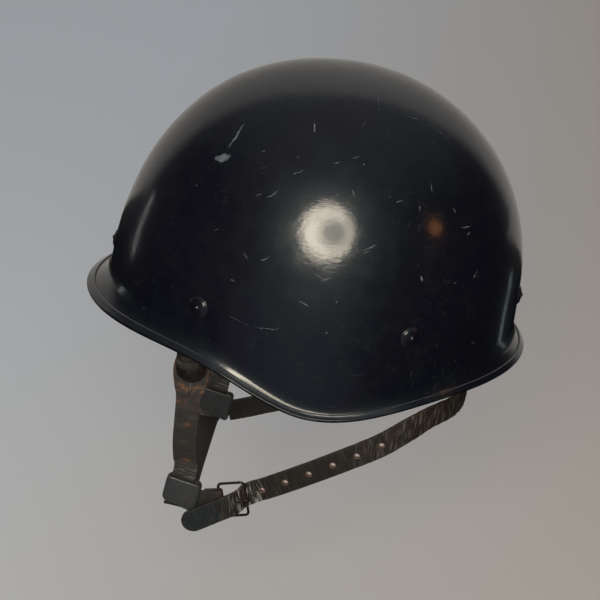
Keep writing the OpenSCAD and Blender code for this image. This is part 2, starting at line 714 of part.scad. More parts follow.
// Side view: the top edge falls a little to the back, and the back edge is longer
module keeper_outline() {
    c = keeper_corner;
    front_low = -keeper_front_height / 2;
    back_high = keeper_front_height / 2 - 1;
    back_low = back_high - keeper_back_height;
    polygon(concat(arc([-keeper_front + c, -front_low - c], c, 180, 90),
                   arc([keeper_back - c, back_high - c], c, 90, 0),
                   arc([keeper_back - c, back_low + c], c, 0, -90),
                   arc([-keeper_front + c, front_low + c], c, -90, -180)));
}
module keeper_section() {
    r = keeper_edge;
    polygon(concat(arc([keeper_out - r, keeper_back - r], r, 0, 90),
                   arc([-keeper_out + r, keeper_back - r], r, 90, 180),
                   arc([-keeper_out + r, -keeper_front + r], r, 180, 270),
                   arc([keeper_out - r, -keeper_front + r], r, 270, 360)));
}
module keeper_body() difference() {
    intersection() {
        rotate([90, 0, 90]) linear_extrude(4 * keeper_out, center = true) keeper_outline();
        linear_extrude(4 * keeper_back_height, center = true) keeper_section();
    }
    cube([strap_wall + 2 * move_gap, strap_width + 2 * move_gap, 4 * keeper_back_height], center = true);
    // The inner wall is cut back where the chin strap bends inwards
    translate([-2 * keeper_out, -strap_half - move_gap, -2 * keeper_front_height])
        cube([2 * keeper_out, strap_width + 2 * move_gap, 1.5 * keeper_front_height + 0.6]);
}

// Buckle frame of reference: x outwards, y along the slope towards the back
module buckle_place() translate([hinge_x, hinge_y, hinge_z]) rotate([buckle_slope, 0, 0]) children();
wire_r = wire_d / 2;
far_bar = buckle_length - wire_d;
bend_r = buckle_corner_r - wire_r;
frame_half = (buckle_height - wire_d) / 2;
prong_level = 2 * wire_r + move_gap;
prong_lift = 3;
prong_hole_start = 7.5;
prong_hole_length = 8.5;
eye_r = wire_r + pin_gap + 0.9;
eye_length = 2;

// Single-bar frame bent from wire: four straight bars and four corner bends
module buckle_frame() color(japan_colour) buckle_place() {
    for (y = [0, far_bar])
        translate([0, y, 0])
            cylinder(h = 2 * (frame_half - bend_r), r = wire_r, center = true, $fn = fine);
    for (z = [-frame_half, frame_half])
        translate([0, bend_r, z])
            rotate([-90, 0, 0]) cylinder(h = far_bar - 2 * bend_r, r = wire_r, $fn = fine);
    near = bend_r;
    far = far_bar - bend_r;
    for (corner = [[far, 1, 0], [near, 1, 90], [near, -1, 180], [far, -1, 270]])
        translate([0, corner[0], corner[1] * (frame_half - bend_r)])
            rotate([0, 90, 0]) rotate([0, 0, corner[2] + 90])
                rotate_extrude(angle = 90, $fn = fine)
                    translate([bend_r, 0]) circle(r = wire_r, $fn = 32);
}

// Prong: an eye round the hinge bar and a straight wire to the far bar
module buckle_prong() color(japan_colour) buckle_place() difference() {
    union() {
        cylinder(h = eye_length, r = eye_r, center = true, $fn = fine);
        translate([prong_level, 0, 0]) {
            rotate([-90, 0, 0]) cylinder(h = far_bar + wire_r, r = wire_r, $fn = fine);
            translate([0, far_bar + wire_r, 0]) sphere(r = wire_r, $fn = 32);
            sphere(r = wire_r, $fn = 32);
        }
    }
    cylinder(h = 2 * eye_length, r = wire_r + pin_gap, center = true, $fn = fine);
}

// Short tab: leather sewn into the left keeper, wrapped round the hinge bar and sewn back
tab_sheet = strap_wall - 0.4;
tab_level = keeper_x - hinge_x;
wrap_in = wire_r + 0.15;
wrap_out = wrap_in + tab_sheet;
seam_y = keeper_y + keeper_front + 0.8;
tab_reach = (seam_y - hinge_y) / cos(buckle_slope);
module buckle_tab() color(leather_colour) buckle_place() difference() {
    linear_extrude(strap_width, center = true)
        difference() {
            polygon(concat(
                [[tab_level - tab_sheet / 2, tab_reach], [tab_level + tab_sheet / 2, tab_reach],
                 [tab_level + tab_sheet / 2, tab_reach + 6]],
                arc([0, 0], wrap_out, 0, 180, 16),
                [[-wrap_out, -4], [tab_level - tab_sheet / 2 - 1, -9], [tab_level - tab_sheet / 2, -9.5]]));
            circle(r = wrap_in, $fn = fine);
        }
    translate([0, wrap_out / 2 + 0.5, 0])
        cube([4 * wrap_out, wrap_out + 2 * eye_r + 1, eye_length + 2 * move_gap], center = true);
}

// Slot in a keeper's sewn edge for a leather end of the given thickness
module seam_slot(slope, wall)
    translate([keeper_x, seam_y, hinge_z + (seam_y - hinge_y) * tan(buckle_slope)])
        rotate([slope, 0, 0])
            translate([-wall / 2 - seat_gap, -seat_gap, -strap_half - seat_gap])
                cube([wall + 2 * seat_gap, keeper_width, strap_width + 2 * seat_gap]);
module keeper_left() color(leather_colour) difference() {
    keeper_place() keeper_body();
    seam_slot(buckle_slope, tab_sheet);
}
module keeper_right() color(leather_colour) on_side(-1) difference() {
    keeper_place() keeper_body();
    seam_slot(right_slope, strap_wall);
}

// Nape strap: its free end lies over the buckle and the left keeper, the strap
// dips under the far bar, runs up behind the ear, round the nape and down to
// the right keeper
nape_slope = 33.4;
right_slope = 20;
slope_dir = [0, cos(nape_slope), sin(nape_slope)];
slope_width = [0, -sin(nape_slope), cos(nape_slope)];
free_x = hinge_x + wrap_out + move_gap + strap_wall / 2 + 0.2;
under_x = hinge_x - wire_r - strap_wall / 2 - move_gap;
prong_y = hinge_y + 11.9;
bar_y = hinge_y + far_bar * cos(buckle_slope);
bar_width = [0, -sin(buckle_slope), cos(buckle_slope)];
prong_hole = [hinge_x + prong_level, prong_y, hinge_z + (prong_y - hinge_y) * tan(buckle_slope)];
function line_z(y) = prong_hole[2] + (y - prong_y) * tan(nape_slope);
function side_station(x, y) = [[x, y, line_z(y)], slope_width, strap_half];
// Beside the buckle the strap folds along lines parallel to the buckle's bars
function fold_station(x, y) = [[x, y, line_z(y)], bar_width, strap_half];
free_tip_y = hinge_y - 22 + strap_half * cos(nape_slope);
tip_centre = [free_x, free_tip_y, line_z(free_tip_y)];
free_end = [for (a = [12, 35, 60, 90])
    [tip_centre - strap_half * cos(a) * slope_dir, slope_width, strap_half * sin(a)]];
turn_y = 49;
function nape_station(t, side) =
    let(y = turn_y + (nape_y - turn_y) * pow(sin(t), 2 / 2.8),
        z = mix(line_z(y), nape_z, ease((y - turn_y - 6) / (nape_y - turn_y - 6))))
    [[side * nape_x * pow(cos(t), 2 / 2.8), y, z], [0, 0, 1], strap_half];
seam_z = hinge_z + (seam_y - hinge_y) * tan(buckle_slope);
right_width = [0, -sin(right_slope), cos(right_slope)];
function right_station(x, y, rise) =
    [[-x, y, seam_z + (y - seam_y) * tan(right_slope) + rise], right_width, strap_half];
nape_route = spline_route(concat(
    free_end,
    [side_station(free_x, hinge_y - 5), fold_station(free_x, hinge_y + 2),
     fold_station(free_x, prong_y - 3), fold_station(hinge_x + prong_level, prong_y),
     fold_station(under_x + 0.2, bar_y - 1.6), fold_station(under_x, bar_y),
     fold_station(under_x, bar_y + 1.6), side_station(under_x + 0.7, bar_y + 7),
     side_station(mix(under_x, nape_x, 0.3), prong_y + 16),
     side_station(mix(under_x, nape_x, 0.65), prong_y + 33),
     side_station(mix(under_x, nape_x, 0.92), prong_y + 55)],
    [for (t = [0 : 15 : 90]) nape_station(t, 1)],
    [for (t = [75 : -15 : 0]) nape_station(t, -1)],
    [[[-mix(keeper_x, nape_x, 0.9), 22, line_z(22)], slope_width, strap_half],
     right_station(mix(keeper_x, nape_x, 0.5), -10, 1.2), right_station(keeper_x + 0.4, -38, 0.3),
     right_station(keeper_x, seam_y + 10, 0), right_station(keeper_x, seam_y, 0)]), 3);

module nape_strap() color(leather_colour) difference() {
    strap(nape_route, strap_wall);
    // Row of holes behind the buckle
    for (k = [0 : strap_hole_count - 1]) {
        y = prong_y + strap_hole_pitch * (k + 1) * cos(nape_slope);
        along_x(under_x - 4, y, line_z(y)) cylinder(h = 20, d = strap_hole_d, $fn = 32);
    }
    // The hole that the prong stands in, pulled long, with room for the prong to lift
    buckle_place()
        for (lift = [0, prong_lift])
            rotate([0, 0, -lift])
                translate([prong_level, prong_hole_start, 0])
                    rotate([-90, 0, 0])
                        cylinder(h = prong_hole_length, r = wire_r + move_gap, $fn = 32);
}

shell();
rim_binding();
shell_rivets();
rivet_washers();
spacer_bushes();
liner_hoop();
sweatband();
felt_pads();
liner_tongues();
crown_lace();
hanger_left();
hanger_right();
pivot_rivet_left();
pivot_rivet_right();
tab_left();
tab_right();
stud_left();
stud_right();
chin_strap();
keeper_left();
keeper_right();
buckle_tab();
buckle_frame();
buckle_prong();
nape_strap();
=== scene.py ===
"""Dresses a pressed steel helmet with leather liner, chin strap and buckled nape strap.

Every length in the classes is in millimetres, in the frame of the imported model:
the front of the helmet looks towards -Y, the wearer's left is +X and the crown is +Z.
Meshes are turned to metres where they become Blender objects.
"""

import logging
from dataclasses import dataclass, field
from enum import Enum
from functools import partial
from math import cos, hypot, pi, radians, sin, sqrt, tan, tau
from typing import Any, Callable, Sequence

import bpy
import numpy as np
from mathutils import Matrix

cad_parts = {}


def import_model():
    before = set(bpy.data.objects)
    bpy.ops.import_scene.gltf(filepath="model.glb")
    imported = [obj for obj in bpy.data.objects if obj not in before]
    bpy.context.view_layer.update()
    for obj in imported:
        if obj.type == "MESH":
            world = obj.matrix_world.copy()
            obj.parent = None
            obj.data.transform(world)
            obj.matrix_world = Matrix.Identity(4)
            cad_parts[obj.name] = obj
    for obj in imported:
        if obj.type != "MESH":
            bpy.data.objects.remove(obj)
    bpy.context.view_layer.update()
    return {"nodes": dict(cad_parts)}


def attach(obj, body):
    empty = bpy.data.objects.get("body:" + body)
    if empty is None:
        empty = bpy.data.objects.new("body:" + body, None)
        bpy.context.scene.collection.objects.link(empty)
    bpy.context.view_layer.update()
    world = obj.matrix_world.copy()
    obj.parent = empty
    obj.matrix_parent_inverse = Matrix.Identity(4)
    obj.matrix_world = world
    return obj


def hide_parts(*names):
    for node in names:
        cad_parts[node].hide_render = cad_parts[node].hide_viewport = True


log = logging.getLogger("helmet")
Array = np.ndarray
Material = bpy.types.Material
Adder = Callable[..., Any]
Point = Sequence[float]
Station = tuple[Point, Point, float]
Pair = tuple[float, float]
Triple = tuple[float, float, float]
METRE = 0.001
TURNED_SIDES = 64


class Side(Enum):
    """The wearer's side that a paired piece is on; the value is the sign of X."""

    LEFT = 1
    RIGHT = -1


def ease(t: Array) -> Array:
    """Smooth step: 3t^2 - 2t^3 on t held between 0 and 1."""
    t = np.clip(t, 0.0, 1.0)
    return t * t * (3 - 2 * t)


def bell(x: Array, middle: float, width: Array | float) -> Array:
    """Bump of height 1: exp(-((x - middle) / width)^2)."""
    return np.exp(-(((x - middle) / width) ** 2))


def unit(v: Array) -> Array:
    """Vectors scaled to length 1 along the last axis."""
    return v / np.linalg.norm(v, axis=-1, keepdims=True)


def circle(count: int) -> Array:
    """Angles of a full turn in equal steps, without its end."""
    return np.linspace(0, tau, count, endpoint=False)


def run_along(path: Array) -> Array:
    """Length run from the first row of a path, at each row."""
    return np.concatenate([[0.0], np.cumsum(np.linalg.norm(np.diff(path, axis=0), axis=1))])


def ripple(x: Array, y: Array, seed: int) -> Array:
    """Soft repeatable noise between about -1 and 1.

    The sum of six sine waves sin(a x + b y + c), with a, b and c drawn from a seeded
    generator, divided by the square root of their number.

    Args:
        x: First coordinate, in units of the pattern's size.
        y: Second coordinate, in the same units.
        seed: Seed of the generator.

    Returns:
        Noise of the coordinates' shape.
    """
    draw, waves = np.random.default_rng(seed), 6
    total = np.zeros(np.broadcast(x, y).shape)
    for turn, size, shift in zip(*(draw.uniform(*ends, waves) for ends in ((0, tau), (0.6, 1.7), (0, tau)))):
        total = total + np.sin(size * (cos(turn) * x + sin(turn) * y) * tau / 2 + shift)
    return total / sqrt(waves)


# Meshes


@dataclass
class Patch:
    """A surface as arrays: points in millimetres, faces, and marks that materials read.

    Attributes:
        points: One row of x, y, z for each point.
        faces: Arrays of point numbers, one array for each number of corners.
        marks: Named values or vectors for each point.
    """

    points: Array
    faces: list[Array]
    marks: dict[str, Array] = field(default_factory=dict)

    def facing_out(self) -> "Patch":
        """Turns the faces round if the volume that they close is negative.

        The volume is the sum of a . (b x c) / 6 over the triangles of each face.

        Returns:
            The patch itself.
        """
        volume = 0.0
        for block in self.faces:
            a = self.points[block[:, 0]]
            for k in range(1, block.shape[1] - 1):
                b, c = self.points[block[:, k]], self.points[block[:, k + 1]]
                volume += float(np.einsum("ij,ij->", a, np.cross(b, c)))
        if volume < 0:
            self.faces = [block[:, ::-1] for block in self.faces]
        return self

    def mirrored(self, side: Side) -> "Patch":
        """A copy on the given side: x times the side's sign, faces kept outwards."""
        faces = [block if side is Side.LEFT else block[:, ::-1] for block in self.faces]
        return Patch(self.points * np.array([side.value, 1.0, 1.0]), faces, dict(self.marks))

    def lay(self, column: int) -> Array:
        """One column of the "lay" mark in millimetres: 0 is along a strap and 1 across it."""
        return self.marks["lay"][:, column] / METRE


def joined(patches: Sequence[Patch]) -> Patch:
    """One patch made of several, with the point numbers of each shifted on.

    Args:
        patches: Patches; the marks that all of them have are kept.

    Returns:
        The joined patch.
    """
    starts = np.cumsum([0] + [len(p.points) for p in patches[:-1]])
    faces = [block + start for p, start in zip(patches, starts) for block in p.faces]
    shared = set.intersection(*[set(p.marks) for p in patches])
    marks = {key: np.concatenate([p.marks[key] for p in patches]) for key in sorted(shared)}
    return Patch(np.concatenate([p.points for p in patches]), faces, marks)


def grid(points: Array, ring: bool = False, sheet: bool = False, marks: dict[str, Array] | None = None) -> Patch:
    """Quads between the neighbours of a grid of points, in rows that each close on themselves.

    Args:
        points: Array of rows, columns and x, y, z.
        ring: Whether the last row meets the first, where otherwise a flat face closes each end.
        sheet: Whether it is an open sheet, with no row closed and no end faces.
        marks: Values for each point, as rows by columns arrays.

    Returns:
        The surface, facing out where it is closed.
    """
    rows, columns = points.shape[:2]
    number = np.arange(rows * columns).reshape(rows, columns)
    here, below = (number, np.roll(number, -1, 0)) if ring else (number[:-1], number[1:])
    right, below_right = np.roll(here, -1, 1), np.roll(below, -1, 1)
    if sheet:
        here, right, below, below_right = here[:, :-1], here[:, 1:], below[:, :-1], below[:, 1:]
    faces = [np.stack([here, right, below_right, below], -1).reshape(-1, 4)]
    if not ring and not sheet:
        faces += [number[:1, ::-1].copy(), number[-1:].copy()]
    flat = {key: value.reshape(rows * columns, *value.shape[2:]) for key, value in (marks or {}).items()}
    return Patch(points.reshape(-1, 3), faces, flat).facing_out()


def placed(name: str, data: Any) -> bpy.types.Object:
    """New object of the scene that shows a mesh, a lamp or a camera.

    Args:
        name: Its name.
        data: What it shows.

    Returns:
        The object.
    """
    thing = bpy.data.objects.new(name, data)
    bpy.context.scene.collection.objects.link(thing)
    return thing


def world_matrix(right: Array, up: Array, back: Array, place: Array) -> Matrix:
    """Matrix of an object from its three axes and its place in metres."""
    return Matrix(np.vstack([np.stack([right, up, back, place], 1), [0, 0, 0, 1]]).tolist())


def mesh_of(name: str, patch: Patch) -> bpy.types.Mesh:
    """Mesh in metres with a patch's points and faces.

    Args:
        name: Its name.
        patch: The surface.

    Returns:
        The mesh.
    """
    mesh = bpy.data.meshes.new(name)
    mesh.from_pydata((patch.points * METRE).tolist(), [], [face for block in patch.faces for face in block.tolist()])
    return mesh


def make_piece(name: str, patch: Patch, material: Material, body: str,
               replaces: Sequence[str] = ()) -> bpy.types.Object:
    """Turns a patch into an object in metres that moves with a body of the frame.

    Args:
        name: Name of the piece.
        patch: Its surface.
        material: Its finish.
        body: Body that it rides on.
        replaces: CAD nodes that it stands for.

    Returns:
        The new object, at the origin.
    """
    mesh = mesh_of(name, patch)
    smooth = np.concatenate([np.full(len(block), block.shape[1] <= 4) for block in patch.faces])
    mesh.polygons.foreach_set("use_smooth", smooth)
    for key, value in patch.marks.items():
        vector = value.ndim == 2
        layer = mesh.attributes.new(key, "FLOAT_VECTOR" if vector else "FLOAT", "POINT")
        layer.data.foreach_set("vector" if vector else "value", value.astype(np.float32).ravel())
    mesh.update()
    mesh.materials.append(material)
    piece = placed(name, mesh)
    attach(piece, body)
    if replaces:
        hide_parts(*replaces)
    log.info("%s: %d points on %s", name, len(patch.points), body)
    return piece


def cut(piece: bpy.types.Object, cutters: Sequence[Patch]) -> None:
    """Cuts closed patches out of a piece with an exact Boolean, applied to the mesh.

    Args:
        piece: The object that is cut.
        cutters: The closed patches that are taken away.
    """
    tool = placed("cutter", mesh_of("cutter", joined(cutters)))
    modifier = piece.modifiers.new("cut", "BOOLEAN")
    modifier.operation, modifier.solver, modifier.object = "DIFFERENCE", "EXACT", tool
    modifier.use_self = True
    finish = piece.data.materials[0]
    bpy.context.view_layer.update()
    result = bpy.data.meshes.new_from_object(piece.evaluated_get(bpy.context.evaluated_depsgraph_get()))
    piece.modifiers.clear()
    piece.data = result
    bpy.data.objects.remove(tool)
    result.materials.clear()
    result.materials.append(finish)
    result.polygons.foreach_set("material_index", np.zeros(len(result.polygons), np.int32))


def dress(nodes: dict[str, bpy.types.Object], material: Material, *names: str) -> None:
    """Gives the named CAD nodes one material each.

    Args:
        nodes: The frame's nodes by name.
        material: Their finish.
        names: The nodes that get it.
    """
    for name in names:
        nodes[name].data.materials.clear()
        nodes[name].data.materials.append(material)
        log.info("%s: dressed with %s", name, material.name)


# Profiles and paths


def bar_section(wall: float, corner: float, faces: int = 18) -> tuple[Array, Array]:
    """Section of a strap as two arrays of factors, for a width given later.

    A point lies at across = k (half - corner) + r cos t and lift = m (wall/2 - corner)
    + r sin t, with r the corner radius.

    Args:
        wall: Thickness.
        corner: Radius of the rounded edges.
        faces: Points across each face.

    Returns:
        Factors of the half width, and offsets across and outwards.
    """
    turn = np.linspace(0, 90, 5)
    factors, offsets = [], []
    for quarter, (sx, sy) in enumerate([(1, 1), (-1, 1), (-1, -1), (1, -1)]):
        angle = np.radians(turn + 90 * quarter)
        factors.append(np.full(len(turn), float(sx)))
        offsets.append(np.stack([corner * np.cos(angle), sy * (wall / 2 - corner) + corner * np.sin(angle)], -1))
        if quarter in (0, 2):
            across = np.linspace(sx, -sx, faces + 2)[1:-1]
            factors.append(across)
            offsets.append(np.stack([0 * across, np.full(faces, sy * wall / 2)], -1))
    return np.concatenate(factors), np.concatenate(offsets)


def spline(stations: Array, steps: int) -> Array:
    """Catmull-Rom spline through stations of any number of columns.

    Between stations p1 and p2 the value at t is half of 2 p1 + (p2 - p0) t
    + (2 p0 - 5 p1 + 4 p2 - p3) t^2 + (3 p1 - p0 - 3 p2 + p3) t^3.

    Args:
        stations: One row for each station.
        steps: Steps between two stations.

    Returns:
        Rows along the spline.
    """
    padded = np.concatenate([stations[:1], stations, stations[-1:]])
    p0, p1, p2, p3 = padded[:-3], padded[1:-2], padded[2:-1], padded[3:]
    t = np.linspace(0, 1, steps, endpoint=False)[None, :, None]
    p0, p1, p2, p3 = (p[:, None, :] for p in (p0, p1, p2, p3))
    value = 0.5 * (2 * p1 + (p2 - p0) * t + (2 * p0 - 5 * p1 + 4 * p2 - p3) * t**2
                   + (3 * p1 - p0 - 3 * p2 + p3) * t**3)
    return np.concatenate([value.reshape(-1, stations.shape[1]), stations[-1:]])


@dataclass
class Route:
    """A strap's course: places, width directions and half widths, one row each.

    Attributes:
        places: Middle of the strap.
        widths: Direction of the strap's width.
        halves: Half of the strap's width.
    """

    places: Array
    widths: Array
    halves: Array

    @classmethod
    def through(cls, stations: Sequence[Station]) -> "Route":
        """A route through stations of place, width direction and half width, in nine steps each."""
        rows = spline(np.array([[*p, *w, h] for p, w, h in stations], float), 9)
        return cls(rows[:, :3], unit(rows[:, 3:6]), np.maximum(rows[:, 6], 0.6))

    def along(self) -> Array:
        """Length run from the first place, at each place."""
        return run_along(self.places)

    def frame(self) -> tuple[Array, Array]:
        """Width and face directions, and the slant's stretch of the width.

        Returns:
            Outward direction of the strap's face, and 1 / sin of the angle between the
            strap's run and its width direction.
        """
        run = unit(np.gradient(self.places, axis=0))
        cross = np.cross(run, self.widths)
        slant = np.linalg.norm(cross, axis=1)
        return cross / slant[:, None], 1 / slant

    def sweep(self, wall: float, corner: float, relief: Any = None) -> Patch:
        """Carries a rounded bar section along the route.

        Args:
            wall: Thickness of the strap.
            corner: Radius of its edges.
            relief: Function of along, across and side (+1 outer face, -1 inner face)
                that gives how far the surface stands out, or None.

        Returns:
            The closed surface, with marks "lay" (along, across, side in metres) and
            "edge" (1 at the cut edges).
        """
        factors, offsets = bar_section(wall, corner)
        face, stretch = self.frame()
        half = (self.halves * stretch)[:, None]
        across = factors[None] * (half - corner) + offsets[None, :, 0]
        lift = np.broadcast_to(offsets[None, :, 1], across.shape).copy()
        along = np.broadcast_to(self.along()[:, None], across.shape)
        side = np.clip(lift / (wall / 2 - corner), -1, 1)
        if relief is not None:
            lift = lift + relief(along, across, side) * np.abs(side)
        points = self.places[:, None] + across[..., None] * self.widths[:, None] + lift[..., None] * face[:, None]
        edge = ease(1 - (half - np.abs(across)) / 1.1)
        lay = np.stack([along, across, side], -1) * METRE
        return grid(points, marks={"lay": lay, "edge": edge})


def turned(profile: Array, middle: Array, axis: Array) -> Patch:
    """Surface of revolution of a closed profile whose ends lie on the axis.

    A point is middle + r (cos t a + sin t b) + h axis, with a and b square to the axis.

    Args:
        profile: Rows of radius and height, from the axis back to the axis.
        middle: Origin of the heights.
        axis: Unit direction of the axis.

    Returns:
        The closed surface, with the pole points merged into caps.
    """
    helper = np.array([0.0, 0.0, 1.0]) if abs(axis[2]) < 0.9 else np.array([0.0, 1.0, 0.0])
    a = unit(np.cross(helper, axis))
    b = np.cross(axis, a)
    turn = circle(TURNED_SIDES)
    ring = np.cos(turn)[:, None] * a + np.sin(turn)[:, None] * b
    points = middle + profile[:, None, :1] * ring[None] + profile[:, None, 1:] * axis
    return grid(points)


def rod(path: Array, radius: float, across: Array, sides: int = 14, closed: bool = False) -> Patch:
    """Round tube along a path: each ring lies square to the path's run.

    The ring's first direction is the run crossed with the given direction, and its
    second is the run crossed with the first.

    Args:
        path: Rows of x, y, z.
        radius: Radius of the tube.
        across: Direction that the path never follows, one for all rings or one each.
        sides: Points of a ring.
        closed: Whether the path meets itself.

    Returns:
        The closed surface, with a mark "lay" of along, round and radius in metres.
    """
    run = unit(np.roll(path, -1, 0) - np.roll(path, 1, 0) if closed else np.gradient(path, axis=0))
    first = unit(np.cross(run, across))
    second = np.cross(run, first)
    turn = circle(sides)[None, :, None]
    points = path[:, None] + radius * (np.cos(turn) * first[:, None] + np.sin(turn) * second[:, None])
    length = run_along(path)
    lay = np.stack(np.broadcast_arrays(length[:, None], turn[..., 0] * radius, radius), -1) * METRE
    return grid(points, ring=closed, marks={"lay": lay})


def bent(corners: Sequence[Point], radius: float) -> Array:
    """Flat path with rounded corners of six points each.

    Each corner becomes the curve (1 - t)^2 a + 2 t (1 - t) c + t^2 b, with a and b at the
    radius before and after the corner c, or half way if the side is shorter.

    Args:
        corners: The path's corners in two columns.
        radius: Distance from each corner at which its curve starts.

    Returns:
        The path.
    """
    c = np.array(corners, float)
    before, after = c[:-2] - c[1:-1], c[2:] - c[1:-1]
    reach = [np.minimum(radius, np.linalg.norm(v, axis=1) / 2)[:, None] * unit(v) for v in (before, after)]
    a, b = c[1:-1] + reach[0], c[1:-1] + reach[1]
    t = np.linspace(0, 1, 6)[None, :, None]
    curves = (1 - t) ** 2 * a[:, None] + 2 * t * (1 - t) * c[1:-1, None] + t**2 * b[:, None]
    return np.concatenate([c[:1], curves.reshape(-1, 2), c[-1:]])


def evenly(path: Array, step: float) -> Array:
    """Points along a path at equal distances, by straight lines between its points.

    Args:
        path: Rows of coordinates.
        step: Wanted distance.

    Returns:
        The new rows.
    """
    length = run_along(path)
    places = np.linspace(0, length[-1], max(2, round(length[-1] / step) + 1))
    return np.stack([np.interp(places, length, column) for column in path.T], -1)


def strip_section(path: Array, wall: float) -> tuple[Array, Array]:
    """Closed outline of a thin strip whose middle follows a flat path.

    Each side lies half the wall off the path along its normal, and each end is a half
    ellipse six tenths as deep as the half wall.

    Args:
        path: Rows of two coordinates.
        wall: Thickness.

    Returns:
        Rows of the outline, and 1 at the ends falling to 0 along the sides.
    """
    bends, run = 5, unit(np.gradient(path, axis=0))
    normal = np.stack([-run[:, 1], run[:, 0]], -1)
    turn = np.linspace(0, pi, bends + 2)[1:-1, None]
    rounds = [0.5 * wall * (np.cos(turn) * sign * normal[k] + 0.6 * np.sin(turn) * sign * run[k]) + path[k]
              for k, sign in ((-1, 1), (0, -1))]
    length = run_along(path)
    near_end = ease(1 - np.minimum(length, length[-1] - length) / 1.2)
    outline = np.concatenate([path + 0.5 * wall * normal, rounds[0], (path - 0.5 * wall * normal)[::-1], rounds[1]])
    ends = np.concatenate([near_end, np.ones(bends), near_end[::-1], np.ones(bends)])
    return outline, ends


def bar(start: Array, end: Array, radius: float) -> Patch:
    """Plain round bar between two points, used as a cutter."""
    run = end - start
    return rod(np.linspace(start, end, 2), radius, np.roll(run, 1) + np.array([0.3, 0.1, 0.2]), sides=28)


def block(low: Point, high: Point) -> Patch:
    """Plain upright box between two corners, used as a cutter.

    Args:
        low: Corner with the lowest coordinates.
        high: The opposite corner.

    Returns:
        The box.
    """
    x, y, z = (np.array([a, b]) for a, b in zip(low, high))
    ring = np.array([[x[0], y[0]], [x[1], y[0]], [x[1], y[1]], [x[0], y[1]]])
    points = np.stack([np.column_stack([ring, np.full(4, level)]) for level in z])
    return grid(points)


def turned_about_x(points: Array, degrees: float, origin: Point) -> Array:
    """Points turned about the X axis and then moved: y' = y cos - z sin, z' = y sin + z cos.

    Args:
        points: Points about the origin of the turn.
        degrees: Angle.
        origin: Where they are moved to.

    Returns:
        The new points.
    """
    c, s = cos(radians(degrees)), sin(radians(degrees))
    x, y, z = points[..., 0], points[..., 1], points[..., 2]
    return np.stack([x, y * c - z * s, y * s + z * c], -1) + np.array(origin, float)


# Materials


def colour(code: str) -> tuple[float, float, float, float]:
    """Linear red, green, blue and full alpha of an sRGB hex code."""
    channels = [int(code.lstrip("#")[i:i + 2], 16) / 255 for i in (0, 2, 4)]
    return (*(c / 12.92 if c <= 0.04045 else ((c + 0.055) / 1.055) ** 2.4 for c in channels), 1.0)


def per_metre(size_mm: float) -> float:
    """Pattern scale on coordinates in metres whose features are about size_mm wide."""
    return 1000.0 / size_mm


def add_node(tree: bpy.types.NodeTree, kind: str, inputs: dict[Any, Any] | None = None, out: int | str = 0,
             **settings: Any) -> Any:
    """Adds one node with its settings, its constant inputs and its links.

    The numbers of a MapRange's inputs are 0 for the value, 1 and 2 for the range it comes
    from and 3 and 4 for the range it goes to. A Mix is one of colours: 0 is the factor, and
    6 and 7 are its two colours.

    Args:
        tree: Node tree.
        kind: Node type without the "ShaderNode" in front.
        inputs: Input's name or number to a value, or to an output that is linked to it.
        out: Name or number of the output that is wanted.
        settings: Properties of the node.

    Returns:
        The wanted output, or None for a node without outputs.
    """
    node = tree.nodes.new("ShaderNode" + kind)
    if kind == "Mix":
        settings, out = {"data_type": "RGBA", **settings}, 2
    for key, value in settings.items():
        setattr(node, key, value)
    for key, value in (inputs or {}).items():
        if isinstance(value, bpy.types.NodeSocket):
            tree.links.new(value, node.inputs[key])
        else:
            node.inputs[key].default_value = value
    return node.outputs[out] if len(node.outputs) else None


def emptied(owner: Any) -> Adder:
    """Empties the nodes of a material, world or lamp.

    Args:
        owner: The material, world or lamp's data.

    Returns:
        What adds nodes to it.
    """
    owner.use_nodes = True
    owner.node_tree.nodes.clear()
    return partial(add_node, owner.node_tree)


class Finish:
    """What all finishes share: a name, and a surface that its kind of finish describes."""

    name: str

    def surface(self, add: Adder, place: Any) -> Any:
        """Links the finish's nodes to the object coordinates in metres and gives the shader."""
        raise NotImplementedError

    def material(self) -> Material:
        """The finish as a material, named for what the real one is.

        Returns:
            The material.
        """
        material = bpy.data.materials.new(self.name)
        add = emptied(material)
        add("OutputMaterial", {"Surface": self.surface(add, add("TexCoord", out="Object"))})
        return material


